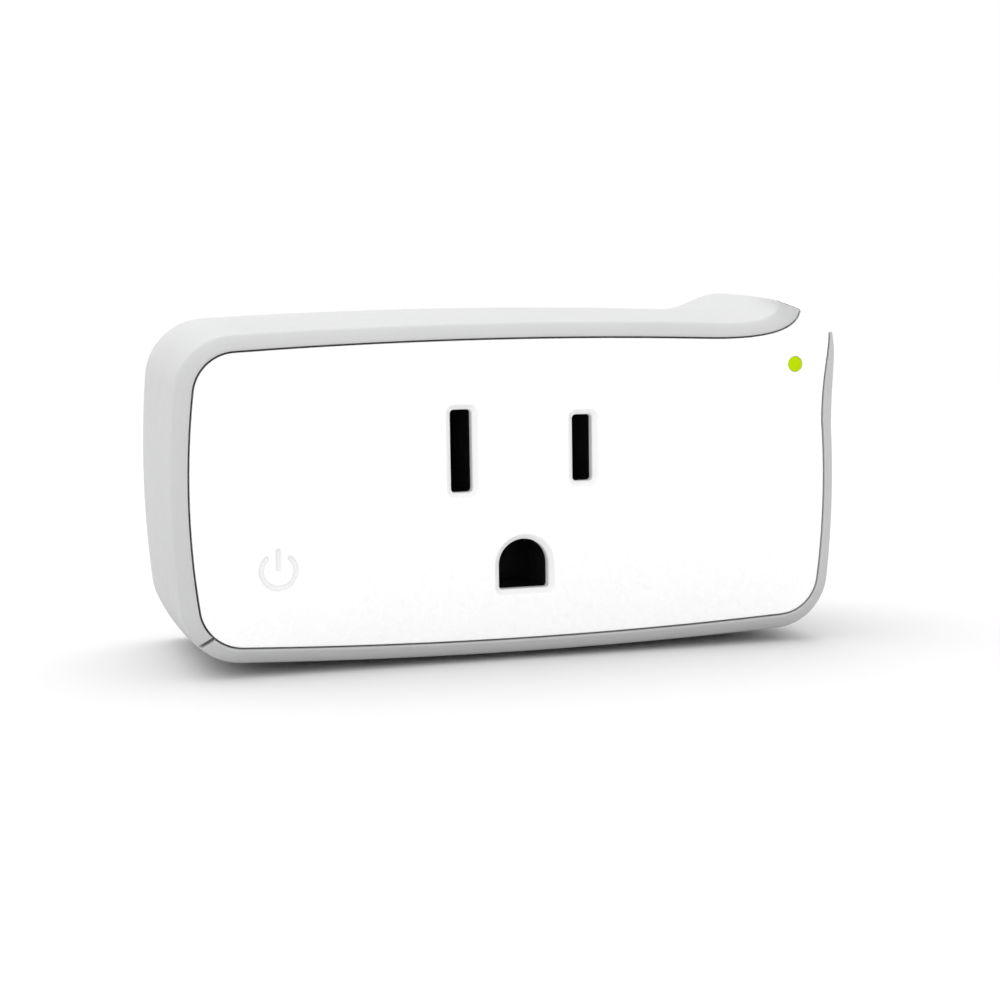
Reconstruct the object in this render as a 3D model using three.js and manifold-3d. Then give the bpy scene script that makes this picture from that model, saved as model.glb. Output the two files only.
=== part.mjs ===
// Smart plug: a mains adapter with one grounded outlet in front and a grounded plug behind.
// Millimetres. Seen from the front X is to the right, Y runs back into the wall, Z is up.
// The origin is on the rear face, halfway between the two flat blades.
import * as THREE from 'three';
import { mergeVertices } from 'three/addons/utils/BufferGeometryUtils.js';
import Module from 'manifold-3d';

const wasm = await Module();
wasm.setup();

// ---------------------------------------------------------------- driving dimensions

const BODY_DEPTH = 33;
const FRONT = -BODY_DEPTH;
const CENTRE_Z = -4.2; // middle of the casing, below the line of the blades
const GAP = 0.3; // clearance between neighbouring pieces
const SEAM = 0.24; // joint between the front plate and the casing, and between the casing's halves

// front plate outline: half sizes, corner radius and how far its sides bulge
const PLATE = { halfWidth: 34.1, halfHeight: 15.6, corner: 4.46, bulgeSide: 1.48, bulgeTop: 1.06 };
const PLATE_THICK = 2;
const LIP_DEPTH = 3; // the plate's lip in the raised corner

// casing: bevel behind the plate, crowned walls, rounded rear edge
const BEVEL_LAND = 0.24;
const BEVEL_OUT = 1.62;
const BEVEL_DEPTH = 1.3;
const CROWN_DEPTH = 27; // depth at which the walls stand out furthest
const CROWN_SIDE = 1.95;
const CROWN_TOP = 3.1;
const REAR_ROUND = 1.5;
const WALL = 2.2;
const LEDGE_IN = 2.2; // ledge that the front plate rests on
const LEDGE_BACK = 4;
const REAR_THICK = 2.2;

// raised corner, top right, relative to the casing's middle: the side leaves the plain outline at
// sideFrom and rises to the shoulder, rounds over to the crest and falls back at topFrom; the white
// strip with the button lies between the shoulder and the crest
const CORNER_BOW = 0.16; // the corner stands out a little further halfway back
const CORNER_FRONT = {
  sideFrom: 6,
  shoulder: [34.72, 15.54],
  crestIn: [33.4, 17.9],
  crest: [31.25, 17.94],
  crestOut: [30.82, 15.37],
  topFrom: 20.4,
};
const CORNER_EDGE = {
  sideFrom: 5.2,
  shoulder: [35.85, 12.9],
  crestIn: [33.6, 18.85],
  crest: [29.48, 18.89],
  crestOut: [29.09, 16.76],
  topFrom: 21.6,
};
const CORNER_REAR = {
  sideFrom: 8.2,
  shoulder: [36.05, 16.2],
  crestIn: [36.1, 19.5],
  crest: [34.9, 19.97],
  crestOut: [31.2, 19.95],
  topFrom: 26,
};

// power button: a strip along the raised corner, pressed inward at 45 degrees
const BUTTON = {
  at: [34.63, 13.7], // where its stem's line crosses the corner
  front: 3.3,
  back: 24,
  middle: 15,
  thick: 0.7, // under the chord from the shoulder to the crest
  travel: 0.5,
  inset: 0.9, // from the crest
  stem: 1.1,
};
const LIP_THICK = 2;
const PAD = 4.35; // wall thickness under the button's middle
const PRESS = new THREE.Vector2(-Math.SQRT1_2, -Math.SQRT1_2);
const ALONG = new THREE.Vector2(Math.SQRT1_2, -Math.SQRT1_2);
const LIP_SIDE = new THREE.Vector2(0.25, -0.97); // the lip's side under the crest

// outlet and plug, to the common North American grounded pattern
const BLADE_X = 6.35;
const GROUND_Z = -11.89;
const OUTLET_X = 0.28; // the outlet sits a little to the right of the plug behind it
const NEUTRAL_SLOT = { x: -6.21, z: -0.03, width: 2.3, height: 8.55 };
const HOT_SLOT = { x: 6.8, z: -0.12, width: 2.18, height: 6.97 };
const GROUND_HOLE = { x: 0.27, z: -12.08, radius: 2.68, below: 2.53 };
const SLOT_CORNER = 0.42;
const SLOT_CHAMFER = 0.52;
const BLADE_THICK = 1.5;
const HOT_BLADE_WIDTH = 6.35;
const NEUTRAL_BLADE_WIDTH = 7.9;
const BLADE_LENGTH = 17.5;
const PIN_RADIUS = 2.4;
const PIN_LENGTH = 20.7;
const BLADE_TIP = { length: 2.2, thickness: 0.45, narrowing: 1 }; // taper at the end of a blade
const BLADE_HOLE = { radius: 1.55, fromTip: 5.5 };

const LENS = { x: 30.72, z: 8.03, radius: 0.82, length: 5.2, clearance: 0.06 };
const MARK = { x: -25.4, z: -11.4, radius: 1.75, stroke: 0.5, depth: 0.3, opening: 0.75 };

const POST = { x: 29.4, z: 7.2, radius: 2, hole: 0.95 };
const SCREW = { head: 2.1, headDepth: 1.1, shank: 0.85, length: 9, sunk: 0.2 };
const RECESS = { reach: 1.3, half: 0.22, depth: 0.6 }; // cross recess in each case screw

// depths of the layers behind the plate
const CORE = { front: PLATE_THICK + GAP, back: 17.5, left: -11.4, right: 11.4, low: -17.3, high: 7 };
const RETAINER = { front: 17.8, back: 19.3 };
const BUS = { front: 21.9, back: 22.7 };
const BOARD = { front: 23, back: 24.6, halfWidth: 31, low: -18.6, high: 8.4 };
const CARRIER = { front: 25.1, back: 30.5, halfWidth: 12, low: -17.5, high: 6 };

// ---------------------------------------------------------------- solids

function toSolid(geometry) {
  geometry.deleteAttribute('normal');
  geometry.deleteAttribute('uv');
  const merged = mergeVertices(geometry, 1e-5);
  return new wasm.Manifold(new wasm.Mesh({
    numProp: 3,
    vertProperties: new Float32Array(merged.attributes.position.array),
    triVerts: new Uint32Array(merged.index.array),
  }));
}

function toGeometry(solid) {
  const mesh = solid.getMesh();
  const geometry = new THREE.BufferGeometry();
  geometry.setAttribute('position', new THREE.BufferAttribute(new Float32Array(mesh.vertProperties), 3));
  geometry.setIndex(new THREE.BufferAttribute(new Uint32Array(mesh.triVerts), 1));
  geometry.computeVertexNormals();
  return geometry;
}

function join(first, ...others) {
  return others.reduce((whole, piece) => whole.add(piece), first);
}

function cut(first, ...others) {
  return others.reduce((whole, piece) => whole.subtract(piece), first);
}

// a box between two depths, given by its ranges in X and Z
function block([x0, x1], [depth0, depth1], [z0, z1]) {
  const geometry = new THREE.BoxGeometry(x1 - x0, depth1 - depth0, z1 - z0);
  geometry.translate((x0 + x1) / 2, FRONT + (depth0 + depth1) / 2, (z0 + z1) / 2);
  return toSolid(geometry);
}

// a shape drawn in X and Z, extruded from one depth to another
function prism(shape, depth0, depth1, curveSegments = 12) {
  const geometry = new THREE.ExtrudeGeometry(shape, {
    depth: depth1 - depth0,
    bevelEnabled: false,
    curveSegments,
  });
  geometry.rotateX(Math.PI / 2);
  geometry.translate(0, FRONT + depth1, 0);
  return toSolid(geometry);
}

// a round bar along Y
function bar(x, z, radius, depth0, depth1, sides = 20) {
  const geometry = new THREE.CylinderGeometry(radius, radius, depth1 - depth0, sides);
  geometry.translate(x, FRONT + (depth0 + depth1) / 2, z);
  return toSolid(geometry);
}

// rings of [x, z] points at given depths, all with the same count, skinned and capped
function loft(rings) {
  const count = rings[0].points.length;
  const positions = [];
  for (const ring of rings) {
    for (const [x, z] of ring.points) {
      positions.push(x, FRONT + ring.depth, z);
    }
  }
  const indices = [];
  for (let r = 0; r + 1 < rings.length; r += 1) {
    for (let i = 0; i < count; i += 1) {
      const near = r * count + i;
      const nearNext = r * count + ((i + 1) % count);
      indices.push(near, near + count, nearNext + count);
      indices.push(near, nearNext + count, nearNext);
    }
  }
  const capOf = (points) => THREE.ShapeUtils.triangulateShape(
    points.map(([x, z]) => new THREE.Vector2(x, z)), [],
  );
  for (const [a, b, c] of capOf(rings[0].points)) {
    indices.push(a, b, c);
  }
  const last = (rings.length - 1) * count;
  for (const [a, b, c] of capOf(rings[rings.length - 1].points)) {
    indices.push(last + c, last + b, last + a);
  }
  const geometry = new THREE.BufferGeometry();
  geometry.setAttribute('position', new THREE.Float32BufferAttribute(positions, 3));
  geometry.setIndex(indices);
  return toSolid(geometry);
}

// ---------------------------------------------------------------- outlines

function arc(centre, radius, from, to, steps) {
  const points = [];
  for (let i = 0; i <= steps; i += 1) {
    const angle = from + ((to - from) * i) / steps;
    points.push([centre[0] + radius * Math.cos(angle), centre[1] + radius * Math.sin(angle)]);
  }
  return points;
}

function bezier(p0, p1, p2, p3, steps) {
  const curve = new THREE.CubicBezierCurve(
    new THREE.Vector2(...p0),
    new THREE.Vector2(...p1),
    new THREE.Vector2(...p2),
    new THREE.Vector2(...p3),
  );
  return curve.getPoints(steps).map((p) => [p.x, p.y]);
}

// the large circles of the side and the top, and the corner circle that touches both inside
function outlineCircles(outSide, outTop) {
  const a = PLATE.halfWidth + outSide;
  const b = PLATE.halfHeight + outTop;
  const corner = PLATE.corner + (outSide + outTop) / 2;
  const sideRadius = (b * b + PLATE.bulgeSide ** 2) / (2 * PLATE.bulgeSide);
  const topRadius = (a * a + PLATE.bulgeTop ** 2) / (2 * PLATE.bulgeTop);
  const side = [a - sideRadius, 0];
  const top = [0, b - topRadius];
  const reachSide = sideRadius - corner;
  const reachTop = topRadius - corner;
  const dx = top[0] - side[0];
  const dz = top[1] - side[1];
  const apart = Math.hypot(dx, dz);
  const along = (reachSide ** 2 - reachTop ** 2 + apart ** 2) / (2 * apart);
  const across = Math.sqrt(reachSide ** 2 - along ** 2);
  const middle = [
    side[0] + (along * dx - across * dz) / apart,
    side[1] + (along * dz + across * dx) / apart,
  ];
  return { side, sideRadius, top, topRadius, corner, middle };
}

// first quarter of the plain outline, from the right-hand side round to the top
function plainQuarter(outSide, outTop) {
  const c = outlineCircles(outSide, outTop);
  const low = Math.atan2(c.middle[1] - c.side[1], c.middle[0] - c.side[0]);
  const high = Math.atan2(c.middle[1] - c.top[1], c.middle[0] - c.top[0]);
  return [
    ...arc(c.side, c.sideRadius, 0, low, 4),
    ...arc(c.middle, c.corner, low, high, 7).slice(1),
    ...arc(c.top, c.topRadius, high, Math.PI / 2, 7).slice(1),
  ];
}

// first quarter with the raised corner
function raisedQuarter(outSide, outTop, shape) {
  const c = outlineCircles(outSide, outTop);
  const sideAngle = Math.asin(shape.sideFrom / c.sideRadius);
  const topAngle = Math.acos(shape.topFrom / c.topRadius);
  const side = arc(c.side, c.sideRadius, 0, sideAngle, 2);
  const top = arc(c.top, c.topRadius, topAngle, Math.PI / 2, 5);
  const leave = side[side.length - 1];
  const rise = shape.shoulder[1] - leave[1];
  const run = (shape.crest[0] - shape.topFrom) / 2;
  return [
    ...side,
    ...bezier(
      leave,
      [leave[0], leave[1] + rise * 0.5],
      [shape.shoulder[0], shape.shoulder[1] - rise * 0.25],
      shape.shoulder,
      5,
    ).slice(1),
    ...bezier(
      shape.shoulder,
      [shape.shoulder[0], shape.shoulder[1] * 0.4 + shape.crest[1] * 0.6],
      shape.crestIn,
      shape.crest,
      6,
    ).slice(1),
    ...bezier(shape.crest, shape.crestOut, [top[0][0] + run, top[0][1] - 0.2], top[0], 7).slice(1),
    ...top.slice(1),
  ];
}

// the whole outline, counter-clockwise seen from the front; the first quarter may be a raised one
function outline(outSide, outTop, firstQuarter) {
  const plain = plainQuarter(outSide, outTop);
  const inner = plain.slice(1, -1);
  const points = [
    ...(firstQuarter ?? plain),
    ...inner.toReversed().map(([x, z]) => [-x, z]),
    [-plain[0][0], 0],
    ...inner.map(([x, z]) => [-x, -z]),
    [0, -plain[plain.length - 1][1]],
    ...inner.toReversed().map(([x, z]) => [x, -z]),
  ];
  return points.map(([x, z]) => [x, z + CENTRE_Z]);
}

function toShape(points) {
  return new THREE.Shape(points.map(([x, z]) => new THREE.Vector2(x, z)));
}

// ---------------------------------------------------------------- casing form

function mix(from, to, share) {
  return from + (to - from) * share;
}

function mixPoint(from, to, share) {
  return [mix(from[0], to[0], share), mix(from[1], to[1], share)];
}

function mixCorner(from, to, share, inset = 0) {
  const place = (name) => mixPoint(from[name], to[name], share).map((v) => v - inset);
  return {
    sideFrom: mix(from.sideFrom, to.sideFrom, share),
    shoulder: place('shoulder'),
    crestIn: place('crestIn'),
    crest: place('crest'),
    crestOut: place('crestOut'),
    topFrom: mix(from.topFrom, to.topFrom, share),
  };
}

const REAR_EDGE = BODY_DEPTH - REAR_ROUND;

// how far the walls stand outside the plate outline at a depth
function crown(depth) {
  const share = 1 - ((depth - CROWN_DEPTH) / (CROWN_DEPTH - BEVEL_DEPTH)) ** 2;
  return {
    side: mix(BEVEL_OUT, CROWN_SIDE, share),
    top: mix(BEVEL_OUT, CROWN_TOP, share),
  };
}

function cornerAt(depth, inset = 0) {
  const share = Math.min((depth - BEVEL_DEPTH) / (REAR_EDGE - BEVEL_DEPTH), 1);
  const bow = 4 * CORNER_BOW * share * (1 - share);
  return mixCorner(CORNER_EDGE, CORNER_REAR, share, inset - bow);
}

function wallRing(depth, inset = 0) {
  const out = crown(Math.min(depth, REAR_EDGE));
  const quarter = raisedQuarter(out.side - inset, out.top - inset, cornerAt(depth, inset));
  return { depth, points: outline(out.side - inset, out.top - inset, quarter) };
}

// the plate's own outline with its raised corner, grown or shrunk all round
function plateOutline(grow) {
  const moved = (name, sideways, up) => {
    const [x, z] = CORNER_FRONT[name];
    return [x + grow * sideways, z + grow * up];
  };
  const corner = {
    ...CORNER_FRONT,
    shoulder: moved('shoulder', 1, 0.4),
    crestIn: moved('crestIn', 0.4, 1),
    crest: moved('crest', -0.8, 1),
    crestOut: moved('crestOut', -0.8, 0.5),
  };
  return outline(grow, grow, raisedQuarter(grow, grow, corner));
}

function plateShape(grow) {
  return toShape(plateOutline(grow));
}

function casingForm() {
  const rings = [{ depth: 0, points: plateOutline(BEVEL_LAND) }];
  for (const depth of [BEVEL_DEPTH, 6, 11, 16, 21, 26, REAR_EDGE]) {
    rings.push(wallRing(depth));
  }
  for (const turn of [0.25, 0.5, 0.75, 1]) {
    const angle = (turn * Math.PI) / 2;
    rings.push(wallRing(REAR_EDGE + REAR_ROUND * Math.sin(angle), REAR_ROUND * (1 - Math.cos(angle))));
  }
  return loft(rings);
}

function plainRing(depth, outSide, outTop) {
  return { depth, points: outline(outSide, outTop) };
}

// the hollow inside the walls, open at the rear, with a ledge behind the front plate
function cavityForm() {
  const rings = [
    plainRing(PLATE_THICK - 1, -LEDGE_IN, -LEDGE_IN),
    plainRing(LEDGE_BACK, -LEDGE_IN, -LEDGE_IN),
  ];
  for (const depth of [LEDGE_BACK, 10, 16, 22, 27, BODY_DEPTH + 1]) {
    const out = crown(Math.min(depth, CROWN_DEPTH));
    rings.push(plainRing(depth, out.side - WALL, out.top - WALL));
  }
  return cut(loft(rings), cornerPad());
}

// a point of the button's own axes: inward from the strip's surface, along it, and the depth
function buttonPoint(inward, along) {
  const [x, z] = BUTTON.at;
  return [x + PRESS.x * inward + ALONG.x * along, z + PRESS.y * inward + ALONG.y * along];
}

// a box in the button's own axes
function buttonBlock([in0, in1], [depth0, depth1], [along0, along1]) {
  return prism(toShape([
    buttonPoint(in1, along0),
    buttonPoint(in1, along1),
    buttonPoint(in0, along1),
    buttonPoint(in0, along0),
  ]), depth0, depth1);
}

// a round peg along the button's line of travel
function buttonPeg(in0, in1, radius, depth, sides = 16) {
  const geometry = new THREE.CylinderGeometry(radius, radius, in1 - in0, sides);
  geometry.rotateZ(Math.PI / 2);
  geometry.rotateY(-Math.PI / 4);
  const [x, z] = buttonPoint((in0 + in1) / 2, 0);
  geometry.translate(x, FRONT + depth, z);
  return toSolid(geometry);
}

// the walls keep more material under the button
function cornerPad() {
  return buttonBlock([-4, PAD], [PLATE_THICK + GAP, BODY_DEPTH - REAR_THICK - GAP], [-8, 8]);
}

// the strip along the raised corner, cut inward to a given thickness and narrowed by a margin; its
// side at the crest runs inward along a line of its own
function stripForm(depth0, depth1, thick, { margin = 0, inset = 0, crestWay = PRESS } = {}) {
  const outside = -3;
  const ringAt = (depth) => {
    const corner = depth < BEVEL_DEPTH
      ? mixCorner(CORNER_FRONT, CORNER_EDGE, Math.max(depth, 0) / BEVEL_DEPTH)
      : cornerAt(depth);
    const place = (point, sideways, way, inward) => [
      point[0] + ALONG.x * sideways + way.x * inward,
      point[1] + CENTRE_Z + ALONG.y * sideways + way.y * inward,
    ];
    return {
      depth,
      points: [
        place(corner.shoulder, -margin, PRESS, thick),
        place(corner.shoulder, -margin, PRESS, outside),
        place(corner.crest, margin + inset, crestWay, outside),
        place(corner.crest, margin + inset, crestWay, thick),
      ],
    };
  };
  const stops = [depth0, 0, BEVEL_DEPTH, depth1].filter((d) => d >= depth0 && d <= depth1);
  return loft([...new Set(stops)].map(ringAt));
}

// ---------------------------------------------------------------- openings

function roundedBox(width, height, radius, steps = 3) {
  const x = width / 2 - radius;
  const z = height / 2 - radius;
  const quarter = Math.PI / 2;
  return [[x, z], [-x, z], [-x, -z], [x, -z]].flatMap(
    (centre, i) => arc(centre, radius, i * quarter, (i + 1) * quarter, steps),
  );
}

// round above, flat below, with softened lower corners
function groundOutline(grow, soft = 0.35) {
  const radius = GROUND_HOLE.radius + grow;
  const low = -GROUND_HOLE.below - grow;
  return [
    ...arc([0, 0], radius, 0, Math.PI, 14),
    ...arc([-radius + soft, low + soft], soft, Math.PI, Math.PI * 1.5, 2),
    ...arc([radius - soft, low + soft], soft, Math.PI * 1.5, Math.PI * 2, 2),
  ];
}

function shifted(points, x, z) {
  return points.map((p) => [p[0] + x, p[1] + z]);
}

const slotOpening = ({ x, z, width, height }) => (grow) => shifted(
  roundedBox(width + 2 * grow, height + 2 * grow, SLOT_CORNER + grow * 0.85), x, z,
);
const OPENINGS = [
  slotOpening(NEUTRAL_SLOT),
  slotOpening(HOT_SLOT),
  (grow) => shifted(groundOutline(grow), GROUND_HOLE.x, GROUND_HOLE.z),
];

// a slot or hole through the plate with a chamfered mouth
function chamferedOpening(opening) {
  const past = 0.1;
  return loft([
    { depth: -past, points: opening(SLOT_CHAMFER + past) },
    { depth: SLOT_CHAMFER, points: opening(0) },
    { depth: PLATE_THICK + 1, points: opening(0) },
  ]);
}

// a plain power sign: an open ring with a stroke in its gap
function markForms() {
  const half = MARK.stroke / 2;
  const outer = MARK.radius + half;
  const inner = MARK.radius - half;
  const from = Math.PI / 2 + MARK.opening;
  const to = Math.PI * 2.5 - MARK.opening;
  const ring = toShape([
    ...arc([MARK.x, MARK.z], outer, from, to, 28),
    ...arc([MARK.x, MARK.z], inner, to, from, 28),
  ]);
  const stroke = toShape(shifted(
    roundedBox(MARK.stroke, MARK.radius * 1.3, half * 0.9), MARK.x, MARK.z + MARK.radius * 0.65,
  ));
  return [prism(ring, -1, MARK.depth), prism(stroke, -1, MARK.depth)];
}

// ---------------------------------------------------------------- assembly

const plug = new THREE.Group();

const FINISH = {
  whiteGloss: [0xffffff, 0.25, 0],
  greyMatte: [0xdcdddd, 0.55, 0],
  blackPlastic: [0x141414, 0.35, 0],
  lime: [0xb9d800, 0.3, 0],
  brass: [0xc9a55a, 0.3, 1],
  nickel: [0xc9c7c0, 0.3, 1],
  steel: [0x9a9c9e, 0.4, 1],
  boardGreen: [0x1e5b35, 0.6, 0],
  relayBlue: [0x2b5ea8, 0.5, 0],
  ferrite: [0x3a3a3c, 0.7, 0],
  winding: [0xd9b43a, 0.5, 0],
  tin: [0xb9bdc1, 0.35, 1],
  discBlue: [0x2a4d8f, 0.5, 0],
  filmYellow: [0xd8a52a, 0.5, 0],
};

function add(name, finish, solid) {
  const [color, roughness, metalness] = FINISH[finish];
  const material = new THREE.MeshStandardMaterial({ color, roughness, metalness });
  const mesh = new THREE.Mesh(toGeometry(solid), material);
  mesh.name = name;
  plug.add(mesh);
}

// ---- casing

const casing = casingForm();
const platePocket = prism(plateShape(SEAM / 2), -1, PLATE_THICK + GAP);
const buttonPocket = stripForm(
  LIP_DEPTH, BUTTON.back + GAP, BUTTON.thick + BUTTON.travel + 0.2, { inset: BUTTON.inset },
);
const lipPocket = stripForm(-1, LIP_DEPTH + GAP, LIP_THICK + GAP, { crestWay: LIP_SIDE });
const stemHole = buttonPeg(0, 5, BUTTON.stem + GAP, BUTTON.middle);
const lensWay = bar(LENS.x, LENS.z, LENS.radius + GAP, 1, LENS.length + 1, 16);
const shell = cut(casing, cavityForm(), platePocket, buttonPocket, lipPocket, stemHole, lensWay);

// the casing parts along the lower left corner and under the button
function upperSide(shift) {
  const lowPoint = [-32.2 + shift / 2, -17.9 - shift / 2];
  const highPoint = buttonPoint(PAD + 2, shift);
  const highOut = buttonPoint(-8, shift);
  return prism(toShape([
    [lowPoint[0] - 12, lowPoint[1] - 9.5],
    lowPoint,
    highPoint,
    highOut,
    [highOut[0], 40],
    [-60, 40],
    [-60, lowPoint[1] - 9.5],
  ]), -2, BODY_DEPTH + 2);
}

add('upper_casing', 'greyMatte', shell.intersect(upperSide(-SEAM / 2)));
add('lower_casing', 'greyMatte', cut(shell, upperSide(SEAM / 2)));

// ---- front plate with the lip in the raised corner, four posts, the mark and the openings

const postPlaces = [[-1, 1], [1, 1], [1, -1], [-1, -1]].map(
  ([x, z]) => [x * POST.x, CENTRE_Z + z * POST.z],
);
const plateSlab = prism(plateShape(-SEAM / 2), 0, PLATE_THICK);
const plateLip = casing.intersect(
  stripForm(0, LIP_DEPTH, LIP_THICK, { margin: GAP, crestWay: LIP_SIDE }),
);
const posts = postPlaces.map(
  ([x, z]) => bar(x, z, POST.radius, PLATE_THICK - 0.2, BODY_DEPTH - REAR_THICK - GAP, 16),
);
const postHoles = postPlaces.map(
  ([x, z]) => bar(x, z, POST.hole + 0.1, BODY_DEPTH - SCREW.length - 3, BODY_DEPTH, 12),
);
add('front_plate', 'whiteGloss', cut(
  join(plateSlab, plateLip, ...posts),
  ...OPENINGS.map(chamferedOpening),
  ...markForms(),
  ...postHoles,
  bar(LENS.x, LENS.z, LENS.radius + LENS.clearance, -1, PLATE_THICK + 1, 24),
));
add('status_lens', 'lime', bar(LENS.x, LENS.z, LENS.radius, 0, LENS.length, 24));

// ---- rear cover

const rearOut = crown(REAR_EDGE);
const rearInset = WALL + GAP;
const screwWells = postPlaces.flatMap(([x, z]) => [
  bar(x, z, SCREW.shank + GAP, BODY_DEPTH - REAR_THICK - 1, BODY_DEPTH + 1, 16),
  bar(x, z, SCREW.head + GAP, BODY_DEPTH - SCREW.headDepth - SCREW.sunk, BODY_DEPTH + 1, 20),
]);
const bladeWay = (x, width) => toShape(
  shifted(roundedBox(BLADE_THICK + 2 * GAP, width + 2 * GAP, 0.3), x, 0),
);
const bladeWays = (depth0, depth1) => [
  prism(bladeWay(-BLADE_X, NEUTRAL_BLADE_WIDTH), depth0, depth1),
  prism(bladeWay(BLADE_X, HOT_BLADE_WIDTH), depth0, depth1),
  bar(0, GROUND_Z, PIN_RADIUS + GAP, depth0, depth1, 24),
];
add('rear_cover', 'greyMatte', cut(
  prism(
    toShape(outline(rearOut.side - rearInset, rearOut.top - rearInset)),
    BODY_DEPTH - REAR_THICK, BODY_DEPTH,
  ),
  ...screwWells,
  ...bladeWays(BODY_DEPTH - REAR_THICK - 1, BODY_DEPTH + 1),
));

postPlaces.forEach(([x, z], i) => {
  const top = BODY_DEPTH - SCREW.sunk;
  const { reach, half, depth } = RECESS;
  add(`case_screw_${i + 1}`, 'steel', cut(
    join(
      bar(x, z, SCREW.head, top - SCREW.headDepth + 0.1, top, 20),
      bar(x, z, SCREW.shank, top - SCREW.length, top - 0.5, 12),
    ),
    block([x - reach, x + reach], [top - depth, top + 1], [z - half, z + half]),
    block([x - half, x + half], [top - depth, top + 1], [z - reach, z + reach]),
  ));
});

// ---- power button and what it presses

const buttonCap = casing.intersect(
  stripForm(BUTTON.front, BUTTON.back, BUTTON.thick, { margin: GAP, inset: BUTTON.inset }),
);
add('power_button', 'whiteGloss', join(buttonCap, buttonPeg(0.6, 4.4, BUTTON.stem, BUTTON.middle)));
add('switch_plunger', 'blackPlastic', buttonPeg(4.7, 5.6, 1, BUTTON.middle));
add('switch_body', 'blackPlastic', buttonBlock([5.9, 7.9], [12.7, 17.3], [-2.3, 2.3]));
add('control_board', 'boardGreen', buttonBlock([8.2, 9], [7, 22], [-3.5, 3.5]));
add('status_led', 'whiteGloss', buttonBlock([5.7, 7.9], [LENS.length + GAP, 8.4], [0.5, 2.5]));

// ---- outlet core, retainer and spring contacts

const CONTACT = { front: 9, back: 16.5, leaf: 0.6, spread: 1.55, halfHeight: 3, tail: 22.6 };
const CONTACT_PLACES = [[OUTLET_X - BLADE_X, 0], [OUTLET_X + BLADE_X, 0], [OUTLET_X, GROUND_Z]];
const [[NEUTRAL_X], [HOT_X]] = CONTACT_PLACES;
const coreCavities = [
  prism(toShape(shifted(roundedBox(5.4, 9.4, 0.5), NEUTRAL_X, 0)), 4.5, CORE.back + 1),
  prism(toShape(shifted(roundedBox(5.4, 9.4, 0.5), HOT_X, 0)), 4.5, CORE.back + 1),
  bar(OUTLET_X, GROUND_Z, 4, 5.8, CORE.back + 1, 24),
];
const coreMouths = OPENINGS.map((opening) => prism(toShape(opening(0.02)), 0, 6));
add('receptacle_core', 'blackPlastic', cut(
  block([CORE.left, CORE.right], [CORE.front, CORE.back], [CORE.low, CORE.high]),
  ...coreCavities,
  ...coreMouths,
));

const tailWays = CONTACT_PLACES.map(
  ([x, z]) => block([x - 1.4, x + 1.4], [RETAINER.front - 1, RETAINER.back + 1], [z - 1.9, z + 1.9]),
);
add('receptacle_retainer', 'blackPlastic', cut(
  block([CORE.left, CORE.right], [RETAINER.front, RETAINER.back], [CORE.low, CORE.high]),
  ...tailWays,
));

// two leaves that pinch inward near the mouth, joined by a bridge with a tail
function bladeContact(x) {
  const { front, back, leaf, spread, halfHeight, tail } = CONTACT;
  const side = (sign) => new THREE.Shape([
    [spread, back], [spread, front + 4], [0.75, front + 2], [1.5, front],
    [1.5 + leaf, front], [0.85 + leaf, front + 2], [spread + leaf, front + 4], [spread + leaf, back],
  ].map(([px, depth]) => new THREE.Vector2(x + sign * px, depth)));
  const leafSolid = (sign) => {
    const geometry = new THREE.ExtrudeGeometry(side(sign), { depth: 2 * halfHeight, bevelEnabled: false });
    geometry.translate(0, FRONT, -halfHeight);
    return toSolid(geometry);
  };
  const reach = spread + leaf;
  return join(
    leafSolid(1),
    leafSolid(-1),
    block([x - reach, x + reach], [back - leaf, back], [-halfHeight, halfHeight]),
    block([x - leaf / 2, x + leaf / 2], [back - leaf / 2, tail], [-1.2, 1.2]),
  );
}

add('neutral_contact', 'brass', bladeContact(NEUTRAL_X));
add('hot_contact', 'brass', bladeContact(HOT_X));

const sleeve = cut(
  bar(OUTLET_X, GROUND_Z, 3.3, CONTACT.front, CONTACT.back, 20),
  bar(OUTLET_X, GROUND_Z, 2.7, CONTACT.front - 1, CONTACT.back - 0.8, 20),
  block([OUTLET_X - 0.5, OUTLET_X + 0.5], [CONTACT.front - 1, 14], [GROUND_Z, GROUND_Z + 5]),
);
add('ground_contact', 'brass', join(
  sleeve,
  block([OUTLET_X - 0.4, OUTLET_X + 0.4], [16, CONTACT.tail], [GROUND_Z - 1.2, GROUND_Z + 1.2]),
));

// ---- plug blades, ground pin and their carrier

const FLANGE = { front: 25.6, back: 27.4, grow: 1 };
const BLADE_BACK = BODY_DEPTH + BLADE_LENGTH;
const PIN_BACK = BODY_DEPTH + PIN_LENGTH;

// a flat blade with a tapered tip, a root flange and a narrow tail through the board
function blade(x, width) {
  const half = width / 2;
  const section = (depth, thick, high) => ({
    depth,
    points: [
      [x + thick / 2, -high], [x + thick / 2, high], [x - thick / 2, high], [x - thick / 2, -high],
    ],
  });
  const body = loft([
    section(FLANGE.front, BLADE_THICK, half),
    section(BLADE_BACK - BLADE_TIP.length, BLADE_THICK, half),
    section(BLADE_BACK, BLADE_THICK * BLADE_TIP.thickness, half - BLADE_TIP.narrowing),
  ]);
  return join(
    cut(body, sideHole(x)),
    block(
      [x - BLADE_THICK / 2 - FLANGE.grow, x + BLADE_THICK / 2 + FLANGE.grow],
      [FLANGE.front, FLANGE.back],
      [-half - FLANGE.grow, half + FLANGE.grow],
    ),
    block([x - 0.4, x + 0.4], [BOARD.front + 0.1, FLANGE.front + 0.2], [-1.2, 1.2]),
  );
}

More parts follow.
